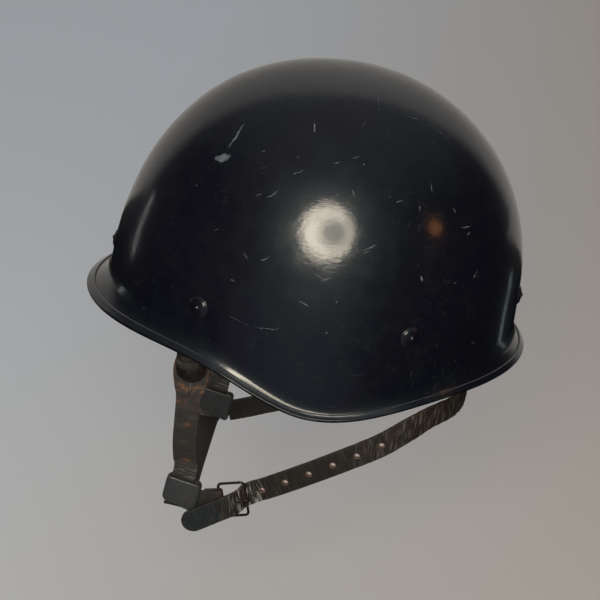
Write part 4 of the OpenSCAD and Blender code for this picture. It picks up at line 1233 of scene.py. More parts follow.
@dataclass
class HeadLiner:
    """Steel hoop with felt pads, leather sweatband, eight tongues and a crown lace."""

    shell: HelmetShell
    hide: Material
    felt: Material
    cotton: Material
    hoop_inset: float = 13.3
    felt_inset: float = 14.55
    felt_wall: float = 5.0
    felt_height: float = 17.0
    band_inset: float = 19.6
    band_height: float = 32.0
    turn_up: float = 6.0
    leather: float = 1.6
    hoop_bottom: float = -13.0
    tongue_inset: float = 18.5
    tongue_count: int = 8
    tongue_width: float = 50.0
    tip_width: float = 13.0
    foot: float = 10.0
    lace_level: float = 111.3
    lace_ring: float = 28.0
    lace_d: float = 2.6
    casing_r: float = 1.7
    bow_power: float = 2.3
    seat: float = 0.05
    body: str = "helmet_shell"

    def _plan(self) -> Triple:
        """Half width, front and back reach of the shell's section at the rivets."""
        side, front, back = (self.shell.dome(radians(a), 0.0) for a in (90, 0, 180))
        return float(side[0]), float(-front[1]), float(back[1])

    def _oval(self, u: Array, inset: Array) -> Array:
        """Point of the liner's oval at angle u: x = (side - inset) sin u, y = -(reach - inset) cos u.

        Args:
            u: Angles.
            inset: Distance inside the shell.

        Returns:
            Rows of x and y.
        """
        side, front, back = self._plan()
        reach = np.where(np.cos(u) > 0, front, back)
        return np.stack([(side - inset) * np.sin(u), -(reach - inset) * np.cos(u)], -1)

    def build_sweatband(self) -> None:
        """Carries the band's folded profile round the oval.

        The profile goes down the head side, out under the hoop and up its outer side. The
        turned-up part is cut away at the two strap hangers. The band waves by half a
        millimetre between its tongues.
        """
        low = self.hoop_bottom - self.leather / 2 - self.seat
        inner, outer = self.band_inset + self.leather / 2, self.hoop_inset - self.leather / 2 - self.seat
        top = self.hoop_bottom - self.leather - self.seat + self.band_height
        path = evenly(bent([[inner, top], [inner, low], [outer, low], [outer, low + self.turn_up - 0.8]], 1.6), 1.0)
        outline, ends = strip_section(path, self.leather)
        u = circle(360)[:, None]
        inset, z = outline[None, :, 0] + 0 * u, outline[None, :, 1] + 0 * u
        up = np.clip((z - low) / self.turn_up, 0, 1)
        outside = inset < self.hoop_inset
        place = self._oval(u, inset)
        notch = bell(place[..., 1], -63, 15) ** 4 * outside
        z = z - notch * up * (self.turn_up - 1.2)
        height = np.clip((z - self.hoop_bottom) / self.band_height, 0, 1)
        wave = 0.5 * np.sin(self.tongue_count * u) * height**2 * (~outside)
        place = self._oval(u, inset + wave - 0.5 * height * (~outside))
        edge = np.broadcast_to(ends, z.shape).copy()
        patch = grid(np.concatenate([place, z[..., None]], -1), ring=True, marks={"edge": edge})
        make_piece("sweatband_leather", patch, self.hide, self.body, ["sweatband"])

    def build_felt(self) -> None:
        """Makes the six felt spacers behind the band, with soft rounded edges.

        Each is a block in angle and height whose section is a superellipse of power 6.
        """
        pads = []
        for k in range(6):
            mid, span = radians(30 + 60 * k), radians(20)
            t = np.linspace(-1, 1, 41)[:, None]
            turn = circle(48)[None]
            narrow = 1 - np.abs(t) ** 14 * 0.35
            across, rise = (np.sign(v) * np.abs(v) ** (1 / 3) for v in (np.cos(turn), np.sin(turn)))
            fluff = 0.12 * ripple(12 * t + turn, 5 * np.cos(turn), 60 + k)
            inset = self.felt_inset + self.felt_wall / 2 * (1 + across * narrow)
            z = self.hoop_bottom + self.felt_height / 2 * (1 + rise * narrow) + fluff
            place = self._oval(mid + t * span + 0 * turn, inset + fluff * 0.5)
            pads.append(grid(np.concatenate([place, z[..., None]], -1)))
        felt = make_piece("felt_spacers", joined(pads), self.felt, self.body, ["felt_pads"])

    def _radius(self, a: Array) -> Array:
        """Distance from the middle to the tongues' oval in direction a.

        Args:
            a: Angles.

        Returns:
            1 / the length of (sin a / half width, cos a / reach).
        """
        side, front, back = self._plan()
        reach = np.where(np.cos(a) > 0, front, back) - self.tongue_inset
        return 1 / np.hypot(np.sin(a) / (side - self.tongue_inset), np.cos(a) / reach)

    def _tongue(self, a: Array, t: Array) -> Array:
        """Middle of a tongue: t from -1 to 0 is the sewn foot, 0 to 1 the bowed part.

        The bowed part is a superellipse from the band's top to the lace.

        Args:
            a: Angles.
            t: Places up the tongue.

        Returns:
            Points.
        """
        tip = self.lace_ring + self.casing_r + self.leather / 3
        base = self.hoop_bottom - self.leather - self.seat + self.band_height
        bow = np.clip(t, 0, 1) * pi / 2
        rho = tip + (self._radius(a) - tip) * np.maximum(np.cos(bow), 0) ** (2 / self.bow_power)
        rise = np.sin(bow) ** (2 / self.bow_power)
        z = np.where(t < 0, base + t * self.foot, base + (self.lace_level - base) * rise)
        return np.stack([rho * np.sin(a), -rho * np.cos(a), z], -1)

    def build_tongues(self) -> None:
        """Makes the eight tongues with their rolled casings.

        A tongue is full at its foot and drawn in to its tip by a smooth step, and it puckers
        in three soft folds where the lace gathers it.
        """
        factors, offsets = bar_section(self.leather, 0.6, faces=22)
        pieces = []
        for k in range(self.tongue_count):
            mid = tau * (k + 0.5) / self.tongue_count
            t = np.concatenate([np.linspace(-1, 0, 8)[:-1], np.linspace(0, 1, 60)])[:, None]
            width = self.tongue_width + (self.tip_width - self.tongue_width) * ease(t) ** 0.8
            centre = self._tongue(np.full(t.shape, mid), t)[:, 0]
            rho = np.hypot(centre[:, 0], centre[:, 1])[:, None]
            across = factors[None] * (width / 2 - 0.6) + offsets[None, :, 0]
            a, tt = mid + across / rho, t + 0 * across
            face = self._face(a, tt)
            fold = 0.7 * np.cos(3 * pi * across / width) * ease((t - 0.35) / 0.5) * ease((1.02 - t) / 0.2)
            droop = 0.3 * ripple(3 * t, across / 14, 80 + k) * ease((t + 0.1) / 0.3)
            lift = offsets[None, :, 1] + fold + droop
            points = self._tongue(a, tt) + lift[..., None] * face
            edge = ease(1 - (width / 2 - np.abs(across)) / 1.2)
            pieces.append(grid(points, marks={"edge": edge}))
            pieces.append(self._casing(mid))
        make_piece("tongue_leather", joined(pieces), self.hide, self.body, ["liner_tongues"])

    def _face(self, a: Array, t: Array) -> Array:
        """Outward direction of the tongues' surface, from its steps up and round.

        Args:
            a: Angles.
            t: Places up the tongue.

        Returns:
            Unit directions.
        """
        up = self._tongue(a, np.minimum(1, t + 0.01)) - self._tongue(a, t - 0.01)
        around = self._tongue(a + 0.01, t) - self._tongue(a - 0.01, t)
        return unit(np.cross(around, up))

    def _casing(self, mid: float) -> Patch:
        """Rolled tip round the lace: a C-shaped strip carried round part of the ring.

        Args:
            mid: Angle of the tongue's middle.

        Returns:
            The tip.
        """
        turn = np.radians(np.linspace(20, 340, 40))
        r = self.casing_r + self.leather / 2
        outline, ends = strip_section(np.stack([self.lace_ring + r * np.cos(turn), r * np.sin(turn)], -1), self.leather)
        span = self.tip_width / self.lace_ring / 2
        a = mid + np.linspace(-span, span, 9)[:, None]
        rho, z = outline[None, :, 0] + 0 * a, outline[None, :, 1] + 0 * a
        points = np.stack([rho * np.sin(a), -rho * np.cos(a), z + self.lace_level], -1)
        edge = np.broadcast_to(ends[None], rho.shape).copy()
        edge[[0, -1]] = 1.0
        return grid(points, marks={"edge": edge})

    def build_thread(self) -> None:
        """Makes the two rows of sewing: through the band's foot and the tongues' feet.

        Each stitch is a short arch that rises 0.4 mm off the leather and dips at its ends.
        """
        _, front, back = self._plan()
        arches = []
        for level, inset, step in ((12.5, self.band_inset + self.leather, 5.0),
                                   (self.hoop_bottom + 4.0, self.band_inset + self.leather, 4.0)):
            around = pi * (front + back) * 0.9
            for mid in circle(int(around / step)):
                u = mid + np.linspace(-1, 1, 7) * 0.36 * step / 100
                height = np.clip((level - self.hoop_bottom) / self.band_height, 0, 1)
                wave = 0.5 * np.sin(self.tongue_count * u) * height**2 - 0.5 * height
                rise = 0.45 * np.cos(np.linspace(-1.5, 1.5, 7)) - 0.05
                place = self._oval(u, inset + wave + rise)
                path = np.column_stack([place, np.full(7, level)])
                arches.append(rod(path, 0.35, np.array([0, 0, 1.0]), sides=6))
        make_piece("liner_thread", joined(arches), self.cotton, self.body)

    def build_lace(self) -> None:
        """Makes the crown lace: a slightly slack ring, an overhand knot and two ends.

        The ring waves up and down by 0.3 mm. The knot is a trefoil curve: x = sin t + 2 sin
        2t, y = cos t - 2 cos 2t, z = -sin 3t, scaled to the lace.
        """
        t = circle(240)
        r, up = self.lace_ring, np.array([0.0, 0.0, 1.0])
        ring = np.stack([r * np.sin(t), -r * np.cos(t), self.lace_level + 0.3 * np.sin(8 * t + 1)], -1)
        parts = [rod(ring, self.lace_d / 2, up, closed=True)]
        knot = np.stack([np.sin(t) + 2 * np.sin(2 * t), -np.sin(3 * t), np.cos(t) - 2 * np.cos(2 * t)], -1)
        parts.append(rod(knot * np.array([1.0, 0.9, 1.0]) + [0, r + 0.4, self.lace_level], 0.95,
                         np.array([0.01, 1.0, 0.02]), closed=True))
        for side in (-1, 1):
            s = np.linspace(0, 1, 30)[:, None]
            end = np.array([side * 12.7, 8.8, -27.1])
            bow = np.array([side * 1.8, 1.2, 0.0]) * np.sin(pi * s)
            path = np.array([0.0, r, self.lace_level]) + s * end + bow
            parts.append(rod(path, self.lace_d / 2 * 0.9, np.array([0.0, 1.0, 0.0])))
        make_piece("crown_lace_cord", joined(parts), self.cotton, self.body, ["crown_lace"])


# The straps


@dataclass(kw_only=True)
class Strap:
    """What the tabs and the two straps share: leather, sizes, and the places where they meet."""

    hide: Material
    width: float = 15.0
    wall: float = 2.0
    gap: float = 0.4
    head_d: float = 19.0
    stud: Pair = (-68.0, -42.5)
    keeper: Triple = (65.5, -71.3, -138.0)


@dataclass(kw_only=True)
class StrapTab(Strap):
    """Folded leather tab on a hanger: its front layer is a flap draped over the stud."""

    side: Side
    inner_x: float = 80.2
    pivot: Pair = (-70.0, -19.0)
    stud_seat: float = 85.0
    head_h: float = 6.0
    skirt: float = 1.2
    foot_reach: float = 12.0
    flap_reach: float = 1.4

    def build(self) -> None:
        """Sweeps the folded strip and lifts its flap over the stud's domed head.

        The flap lies on the larger of its own flat level and the head's cap, joined by a
        smooth maximum: m = (a + b + sqrt((a - b)^2 + k^2)) / 2.
        """
        y0, top = self.pivot[0], self.pivot[1] + self.width / 2
        back_x, front_x = self.inner_x + self.wall / 2, self.inner_x + 1.5 * self.wall
        foot, flap_end = self.stud[1] - self.foot_reach, self.stud[1] + self.flap_reach
        turn = np.linspace(0, pi, 14)[:, None]
        fold = np.array([[self.inner_x + self.wall, top - self.wall]]) + self.wall / 2 * np.concatenate(
            [-np.cos(turn), np.sin(turn)], 1)
        path = evenly(np.concatenate([[[back_x, foot]], fold, [[front_x, flap_end]]]), 0.6)
        places = np.stack([path[:, 0], np.full(len(path), y0), path[:, 1]], -1)
        length = run_along(path)
        half = self.width / 2
        round_foot = np.sqrt(np.clip(1 - np.clip(1 - length / half, 0, 1) ** 2, 0.02, 1))
        left = np.clip((length[-1] - length) / 2.5, 0, 1)
        round_end = 1 - 0.18 * (1 - np.sqrt(1 - (1 - left) ** 2))
        route = Route(places, np.tile([0.0, 1.0, 0.0], (len(path), 1)), half * round_foot * round_end)

        def relief(along: Array, across: Array, side: Array) -> Array:
            """Three soft wrinkles that cross the flap above the stud."""
            drop = length[-1] - along
            return (side > 0) * 0.22 * np.sin(drop * 1.9 + 0.25 * across) * bell(drop, 6.5, 4.5)

        patch = route.sweep(self.wall - 0.1, 0.5, relief)
        p = patch.points
        front = ease((p[:, 0] - self.inner_x - self.wall * 0.9) / 0.6) * (p[:, 2] < top - 1)
        rho = np.hypot(p[:, 1] - self.stud[0], p[:, 2] - self.stud[1])
        r = (self.head_d**2 / 4 + (self.head_h - self.skirt) ** 2) / (2 * (self.head_h - self.skirt))
        cap = np.sqrt(np.maximum(r * r - rho**2, (r - self.head_h + self.skirt) ** 2))
        cap = self.stud_seat + self.head_h - r + cap - 1.1 * np.maximum(rho - self.head_d / 2, 0) + 0.25
        low = self.inner_x + self.wall
        level = (cap + low + np.sqrt((cap - low) ** 2 + 1.6)) / 2
        p[:, 0] += front * (level - low)
        drop = length[-1] - patch.lay(0)
        patch.marks["wear"] = 0.10 * front * bell(rho, 4, 5)
        # Pale crests on the three wrinkles over the stud: a painted highlight
        patch.marks["ridge"] = 0.25 * front * bell(drop, 6.5, 4.5)
        name = self.side.name.lower()
        make_piece("tab_leather_" + name, patch.mirrored(self.side), self.hide, name + "_tab",
                   ["tab_" + name])


@dataclass(kw_only=True)
class ChinStrap(Strap):
    """Leather chin strap between the two studs, with a sliding keeper on each cheek."""

    moulded: Material
    end_width: float = 22.0
    end_x: float = 83.6
    lean: float = 9.0
    chin: Pair = (-76.0, -170.0)
    keeper_front_height: float = 17.5
    keeper_back_height: float = 20.5
    keeper_width: float = 23.0
    keeper_wall: float = 2.0
    travel: float = 5.0
    slit_width: float = 0.4
    shank_d: float = 5.0
    shank_gap: float = 0.06
    # Distance from the nearer stud, half length and strength of each worn spot
    worn: tuple[Triple, ...] = ((54.0, 1.7, 0.8), (69.5, 1.5, 0.45), (87.0, 1.6, 0.75))

    def _stations(self) -> list[Station]:
        """Stations of the left half.

        Returns:
            The stations, from the stud down to the chin.
        """
        y0, z0 = self.stud
        x, half, end_half = self.end_x, self.width / 2, self.end_width / 2
        kx, ky, kz = self.keeper
        lean = radians(self.lean)
        down = np.array([0, -sin(lean), -cos(lean)])
        across = [0, cos(lean), -sin(lean)]
        high = self.keeper_front_height / 2 + self.travel + 2.5
        low = self.keeper_front_height / 2 + 0.5
        below = kz - low - 5
        mid = np.array(self.keeper)
        level = [0.0, 1.0, 0.0]
        stations = [([x, y0, z0 + end_half * cos(radians(a))], level, end_half * sin(radians(a)))
                    for a in (4, 20, 38, 62, 90)]
        stations += [([x, y0, z0 - 6], level, end_half),
                     ([x, y0, z0 - 14], level, half + 0.6 * (end_half - half)),
                     ([x - 1.2, y0 - 0.4, z0 - 22], level, half + 0.1 * (end_half - half)),
                     ([x - 5, y0 - 1.2, z0 - 38], level, half),
                     ([kx + 6.5, ky + 1.2, z0 - 58], level, half),
                     ([kx + 1.2, ky + 1.6, z0 - 72], level, half),
                     (mid - high * down, across, half), (mid, across, half), (mid + low * down, across, half),
                     (mid + (low + 3.2) * down - [1.6, 0, 0], across, half),
                     ([kx - 6, ky + 0.6 * (self.chin[0] - ky), below - 0.2], level, half),
                     ([0.6 * kx, ky + 0.8 * (self.chin[0] - ky), below + 0.4 * (self.chin[1] - below)], level, half),
                     ([0.3 * kx, self.chin[0], below + 0.8 * (self.chin[1] - below)], level, half)]
        return stations

    def build_strap(self) -> None:
        """Sweeps the strap, worn brown round the studs, and cuts its stud holes and slits."""
        left = self._stations()
        right = [([-p[0], p[1], p[2]], w, h) for p, w, h in reversed(left)]
        route = Route.through(left + [([0.0, *self.chin], [0.0, 1.0, 0.0], self.width / 2)] + right)
        total = route.along()[-1]

        def relief(along: Array, across: Array, side: Array) -> Array:
            """Soft transverse waves of old leather, deeper near the studs."""
            deep = bell(np.minimum(along, total - along), 30, 22)
            return 0.10 * ripple(along / 5, across / 16, 11) + 0.16 * ripple(along / 2.2, across / 14, 12) * deep

        patch = route.sweep(self.wall, 0.55, relief)
        along, across = patch.lay(0), patch.lay(1)
        near = np.minimum(along, total - along)
        patch.marks["raw"] = patch.marks["edge"] * (0.15 + 0.85 * bell(near, 16, 10))
        ragged = ease(0.6 + 0.9 * ripple(near / 3, across / 3, 31))
        wear = 0.95 * bell(near, 26, 3.2) * ragged + 0.5 * bell(near, 36, 3.5) * ragged
        for place, size, strength in self.worn:
            wear = wear + strength * bell(near, place, size) * bell(across, 0.5, 2.6)
        patch.marks["wear"] = np.clip(wear, 0, 1)
        # Pale crease crests along the strap and near the keepers: partly cracked dye, partly a painted sheen
        patch.marks["ridge"] = 0.09 * bell(near, 48, 22) + 0.35 * bell(near, 97, 5)
        strap = make_piece("chin_strap_leather", patch, self.hide, "chin_set", ["chin_strap"])
        cutters = []
        for side in (1, -1):
            middle = np.array([side * self.end_x, *self.stud])
            radius = self.shank_d / 2 + (self.shank_gap if side > 0 else self.gap)
            cutters.append(bar(middle - [3, 0, 0], middle + [3, 0, 0], radius))
            cutters.append(block(middle - [3, self.slit_width / 2, self.head_d], middle + [3, self.slit_width / 2, -1]))
        cut(strap, cutters)

    def build_keepers(self) -> None:
        """Makes the two moulded leather keepers: bulged sleeves with a creased lower edge.

        The outline across is a rounded rectangle. Its top and bottom levels differ from
        front to back, the faces bulge with (1 - y^2)(1 - z^2), and a groove runs 2.4 mm
        above the bottom edge and 1.9 mm inside the other edges.
        """
        out = self.wall / 2 + self.gap + self.keeper_wall
        front = self.width / 2 + self.gap + self.keeper_wall
        back = self.keeper_width - front
        corner = 2.2
        outer, side = self._loop(out, -front, back, corner)
        inner, _ = self._loop(self.wall / 2 + self.gap, -self.width / 2 - self.gap, self.width / 2 + self.gap, 0.4)
        v = 0.5 - 0.5 * np.cos(pi * np.linspace(0, 1, 34))
        rows = []
        for section, levels, is_outer in ((outer, v, True), (inner, v[::-2], False)):
            y = section[None, :, 1] + 0 * levels[:, None]
            share = (y + front) / self.keeper_width
            top = self.keeper_front_height / 2 - 1.0 * share
            bottom = -self.keeper_front_height / 2 - (self.keeper_back_height - self.keeper_front_height + 1) * share
            near = np.minimum(y + front, back - y)
            cutoff = corner - np.sqrt(np.maximum(corner**2 - np.maximum(corner - near, 0) ** 2, 0))
            top, bottom = top - cutoff, bottom + cutoff
            z = bottom + (top - bottom) * levels[:, None]
            x = section[None, :, 0] + 0 * z
            if is_outer:
                # The end rows are drawn in to leave a rounded lip
                lip = np.minimum(levels, 1 - levels)[:, None] * (top - bottom)
                inset = 1.0 * (1 - np.sqrt(np.clip(1 - (1 - np.clip(lip / 1.1, 0, 1)) ** 2, 0, 1)))
                centre_y = (back - front) / 2
                face = side[None]
                across = np.clip((y - centre_y) / (self.keeper_width / 2), -1, 1)
                height = 2 * levels[:, None] - 1
                bulge = 0.75 * (1 - across**2) * (1 - height**2) * np.abs(face)
                low_groove = bell(z - bottom, 2.4, 0.33)
                side_groove = bell(np.minimum(near, top - z), 1.9, 0.3) * 0.5
                groove = 0.30 * np.maximum(low_groove, side_groove) * (np.abs(face) > 0.8)
                x = x * (1 - inset / out) + face * (bulge - groove)
                y = (y - centre_y) * (1 - inset / (self.keeper_width / 2)) + centre_y
            rows.append(np.stack([x, y, z], -1))
        points = np.concatenate(rows)
        edge = np.zeros(points.shape[:2])
        edge[: len(v)] = np.maximum(bell(v, 0, 0.03), bell(v, 1, 0.03))[:, None]
        lay = np.stack([points[..., 2], points[..., 1], points[..., 0]], -1) * METRE
        # One brown scuff on the outer face, below the middle and towards the back
        wear = 0.9 * bell(points[..., 1], 5.0, 1.3) * bell(points[..., 2], -2.5, 1.3) * (points[..., 0] > 0)
        patch = grid(points, ring=True, marks={"edge": edge, "lay": lay, "wear": wear})
        patch.points = turned_about_x(patch.points, -self.lean, self.keeper)
        for side_name in Side:
            name = side_name.name.lower()
            make_piece("keeper_leather_" + name, patch.mirrored(side_name), self.moulded, "nape_set",
                       ["keeper_" + name])

    def _loop(self, half_x: float, low_y: float, high_y: float, r: float) -> tuple[Array, Array]:
        """Rounded rectangle of 96 points, with +1, -1 or 0 for outer, inner and side faces.

        Args:
            half_x: Half of its depth.
            low_y: Its front.
            high_y: Its back.
            r: Radius of its corners.

        Returns:
            The points and the faces' values.
        """
        turn = np.radians(np.linspace(0, 90, 7))
        corners = [(half_x - r, high_y - r, 0), (-half_x + r, high_y - r, 90), (-half_x + r, low_y + r, 180),
                   (half_x - r, low_y + r, 270)]
        points, side = [], []
        for k, (cx, cy, start) in enumerate(corners):
            a = turn + radians(start)
            points.append(np.stack([cx + r * np.cos(a), cy + r * np.sin(a)], -1))
            side.append(np.cos(a))
            nx, ny, after = corners[(k + 1) % 4]
            last = points[-1][-1]
            goal = np.array([nx + r * cos(radians(after)), ny + r * sin(radians(after))])
            t = np.linspace(0, 1, 19 if k % 2 else 5)[1:-1, None]
            points.append(last + t * (goal - last))
            side.append(np.full(len(t), 0.0 if k % 2 == 0 else (-1.0 if k == 1 else 1.0)))
        return np.concatenate(points), np.concatenate(side)


@dataclass(kw_only=True)
class NapeStrap(Strap):
    """Nape strap through the buckle, from the left keeper round the neck to the right one."""

    raw: Material
    tab_hide: Material
    wire_d: float = 1.7
    hinge: Triple = (66.0, -44.9, -141.4)
    slope: float = 13.5
    nape_slope: float = 33.4
    right_slope: float = 20.0
    buckle_length: float = 18.5
    prong_reach: float = 11.9
    prong_swing: float = 3.0
    keeper_front: float = 9.9
    nape: Triple = (71.8, 99.4, -60.0)
    turn_y: float = 49.0
    turn_power: float = 2.8
    hole_d: float = 3.4
    pitch: float = 16.9
    hole_count: int = 6
    sheet: float = 1.6
    # Where the prong and the buckle's bends are, along the strap from its free end
    prong_at: float = 32.0
    bends_at: float = 48.0

    def _stations(self) -> list[Station]:
        """Stations of the whole strap.

        Returns:
            The stations, from the free end to the right keeper.
        """
        half, wire_r = self.width / 2, self.wire_d / 2
        hx, hy, hz = self.hinge
        kx = self.keeper[0]
        nx, ny, nz = self.nape
        nape, flat, right = (radians(a) for a in (self.nape_slope, self.slope, self.right_slope))
        prong_level = 2 * wire_r + self.gap
        prong_y = hy + self.prong_reach
        hole_z = hz + (prong_y - hy) * tan(flat)
        bar_y = hy + (self.buckle_length - self.wire_d) * cos(flat)
        free_x = hx + wire_r + 0.15 + self.sheet + self.gap + self.wall / 2 + 0.2
        under_x = hx - wire_r - self.wall / 2 - self.gap
        along = np.array([0, cos(nape), sin(nape)])
        across = [0, -sin(nape), cos(nape)]
        bars = [0, -sin(flat), cos(flat)]

        def line(y: float) -> float:
            """Level of the strap's middle on the left side at y."""
            return hole_z + (y - prong_y) * tan(nape)

        def at(x: float, y: float, way: Point) -> Station:
            """Station on the left side."""
            return [x, y, line(y)], way, half

        tip_y = hy - 22 + half * cos(nape)
        tip = np.array([free_x, tip_y, line(tip_y)])
        stations = [(tip - half * cos(radians(a)) * along, across, half * sin(radians(a)))
                    for a in (4, 20, 38, 62, 90)]
        stations += [at(free_x, hy - 5, across), at(free_x, hy + 2, bars), at(free_x, prong_y - 3, bars),
                     at(hx + prong_level, prong_y, bars), at(under_x + 0.2, bar_y - 1.6, bars),
                     at(under_x, bar_y, bars), at(under_x, bar_y + 1.6, bars), at(under_x + 0.7, bar_y + 7, across)]
        stations += [at(under_x + share * (nx - under_x), prong_y + reach, across)
                     for share, reach in ((0.3, 16), (0.65, 33), (0.92, 55))]
        for side, turns in ((1, range(0, 91, 15)), (-1, range(75, -1, -15))):
            for t in turns:
                s, c = sin(radians(t)), cos(radians(t))
                y = self.turn_y + (ny - self.turn_y) * s ** (2 / self.turn_power)
                mix = float(ease(np.array((y - self.turn_y - 6) / (ny - self.turn_y - 6))))
                z = line(y) * (1 - mix) + nz * mix
                stations.append(([side * nx * max(c, 0) ** (2 / self.turn_power), y, z], [0, 0, 1], half))
        seam_y = self.keeper[1] + self.keeper_front + 0.8
        seam_z = hz + (seam_y - hy) * tan(flat)
        right_way = [0, -sin(right), cos(right)]
        stations.append(([-(kx + 0.9 * (nx - kx)), 22, line(22)], across, half))
        for x, y, rise in ((kx + 0.5 * (nx - kx), -10, 1.2), (kx + 0.4, -38, 0.3),
                           (kx, seam_y + 10, 0), (kx, seam_y, 0)):
            stations.append(([-x, y, seam_z + (y - seam_y) * tan(right) + rise], right_way, half))
        return stations

    def _holes(self) -> list[Pair]:
        """Places of the free holes as y and z on the strap's middle line.

        Returns:
            One pair for each hole.
        """
        hy, hz = self.hinge[1:]
        prong_y, nape = hy + self.prong_reach, radians(self.nape_slope)
        places = [prong_y + self.pitch * k * cos(nape) for k in range(1, self.hole_count + 1)]
        level = hz + self.prong_reach * tan(radians(self.slope))
        return [(y, level + (y - prong_y) * tan(nape)) for y in places]

    def build_strap(self) -> None:
        """Sweeps the strap, with creases where the buckle bends it, and punches its holes."""
        route = Route.through(self._stations())

        def relief(along: Array, across: Array, side: Array) -> Array:
            """Transverse waves: fine all over, sharp after the buckle, none where the prong swings.

            Args:
                along: Length along the strap.
                across: Place across it.
                side: Face; both wave alike.

            Returns:
                How far the surface stands out.
            """
            fine = 0.07 * ripple(along / 4, across / 15, 21)
            buckle = 0.24 * ripple(along / 1.5, across / 17, 22) * bell(along, self.bends_at, 8)
            neck = 0.16 * ripple(along / 2.4, across / 17, 23) * ease((along - 105) / 30) * ease((330 - along) / 60)
            return (fine + buckle + neck) * (1 - bell(along, self.prong_at, 9))

        patch = route.sweep(self.wall, 0.55, relief)
        along = patch.lay(0)
        neck = ease((along - 110) / 40) * ease((320 - along) / 60)
        patch.marks["wear"] = 0.05 * neck
        patch.marks["raw"] = 0.12 * patch.marks["edge"]
        # Pale crease crests after the buckle and along the neck: partly cracked dye, partly a painted sheen
        patch.marks["ridge"] = np.clip(1.1 * bell(along, self.bends_at, 11) + 0.16 * neck + 0.04, 0, 1)
        strap = make_piece("nape_strap_leather", patch, self.hide, "nape_set", ["nape_strap"])
        hx = self.hinge[0]
        cutters = [bar(np.array([hx - 7, y, z]), np.array([hx + 14, y, z]), self.hole_d / 2)
                   for y, z in self._holes()]
        radius = self.wire_d / 2 + self.gap
        # The prong's hole, drawn out as far as the prong swings each way about the hinge bar
        for swing in np.radians([-self.prong_swing, 0.0, self.prong_swing]):
            ends = [np.array([self.wire_d + self.gap + y * sin(swing), y, 0.0]) for y in (7.5, 16.0)]
            slot = bar(*ends, radius)
            slot.points = turned_about_x(slot.points, self.slope, self.hinge)
            cutters.append(slot)
        cut(strap, cutters)

    def build_hole_rims(self) -> None:
        """Makes the raw edge round each punched hole: a thin ring half sunk in each face."""
        route = Route.through(self._stations())
        face, _ = route.frame()
        turn = circle(24)[:, None]
        rings = []
        for y, _ in self._holes():
            # The nearest place of the route on the left side
            near = int(np.argmin(np.abs(route.places[:, 1] - y) + 1000 * (route.places[:, 0] < 0)))
            share = (y - route.places[near, 1]) / (route.places[near + 1, 1] - route.places[near, 1])
            middle = route.places[near] + share * (route.places[near + 1] - route.places[near])
            side = unit(np.cross(face[near], route.widths[near]))
            for sign in (1, -1):
                ring = (self.hole_d / 2 + 0.05) * (np.cos(turn) * side + np.sin(turn) * route.widths[near])
                path = middle + sign * (self.wall / 2 - 0.05) * face[near] + ring
                rings.append(rod(path, 0.3, face[near], sides=8, closed=True))
        make_piece("hole_rims_leather", joined(rings), self.raw, "nape_set")

    def build_buckle_tab(self) -> None:
        """Makes the short tab: from the keeper's seam round the hinge bar and back on itself."""
        level = self.keeper[0] - self.hinge[0]
        r = self.wire_d / 2 + 0.15 + self.sheet / 2
        seam_y = self.keeper[1] + self.keeper_front + 0.8
        reach = (seam_y - self.hinge[1]) / cos(radians(self.slope))
        turn = np.linspace(0, pi, 18)[:, None]
        loop = r * np.concatenate([np.cos(turn), np.sin(turn)], 1)
        path = np.concatenate([bent([[level, reach], [level, -9], [r, -2.5], [r, 0]], 3), loop[1:],
                               bent([[-r, 0], [-r, -2.5], [level - 1.7, -8], [level - 1.7, -9.6]], 2)[1:]])
        path = evenly(path, 0.45)
        places = np.stack([path[:, 0], path[:, 1], 0 * path[:, 0]], -1)
        route = Route(turned_about_x(places, self.slope, self.hinge),
                      np.tile(turned_about_x(np.array([0.0, 0.0, 1.0]), self.slope, (0, 0, 0)), (len(path), 1)),
                      np.full(len(path), self.width / 2))
        patch = route.sweep(self.sheet, 0.4)
        patch.marks["wear"] = 0.2 * bell(patch.lay(0), 17, 5)
        tab = make_piece("buckle_tab_leather", patch, self.tab_hide, "nape_set", ["buckle_tab"])
        slot = block([-6, -1.8, -1.4], [6, 6, 1.4])
        slot.points = turned_about_x(slot.points, self.slope, self.hinge)
        cut(tab, [slot])


# The studio


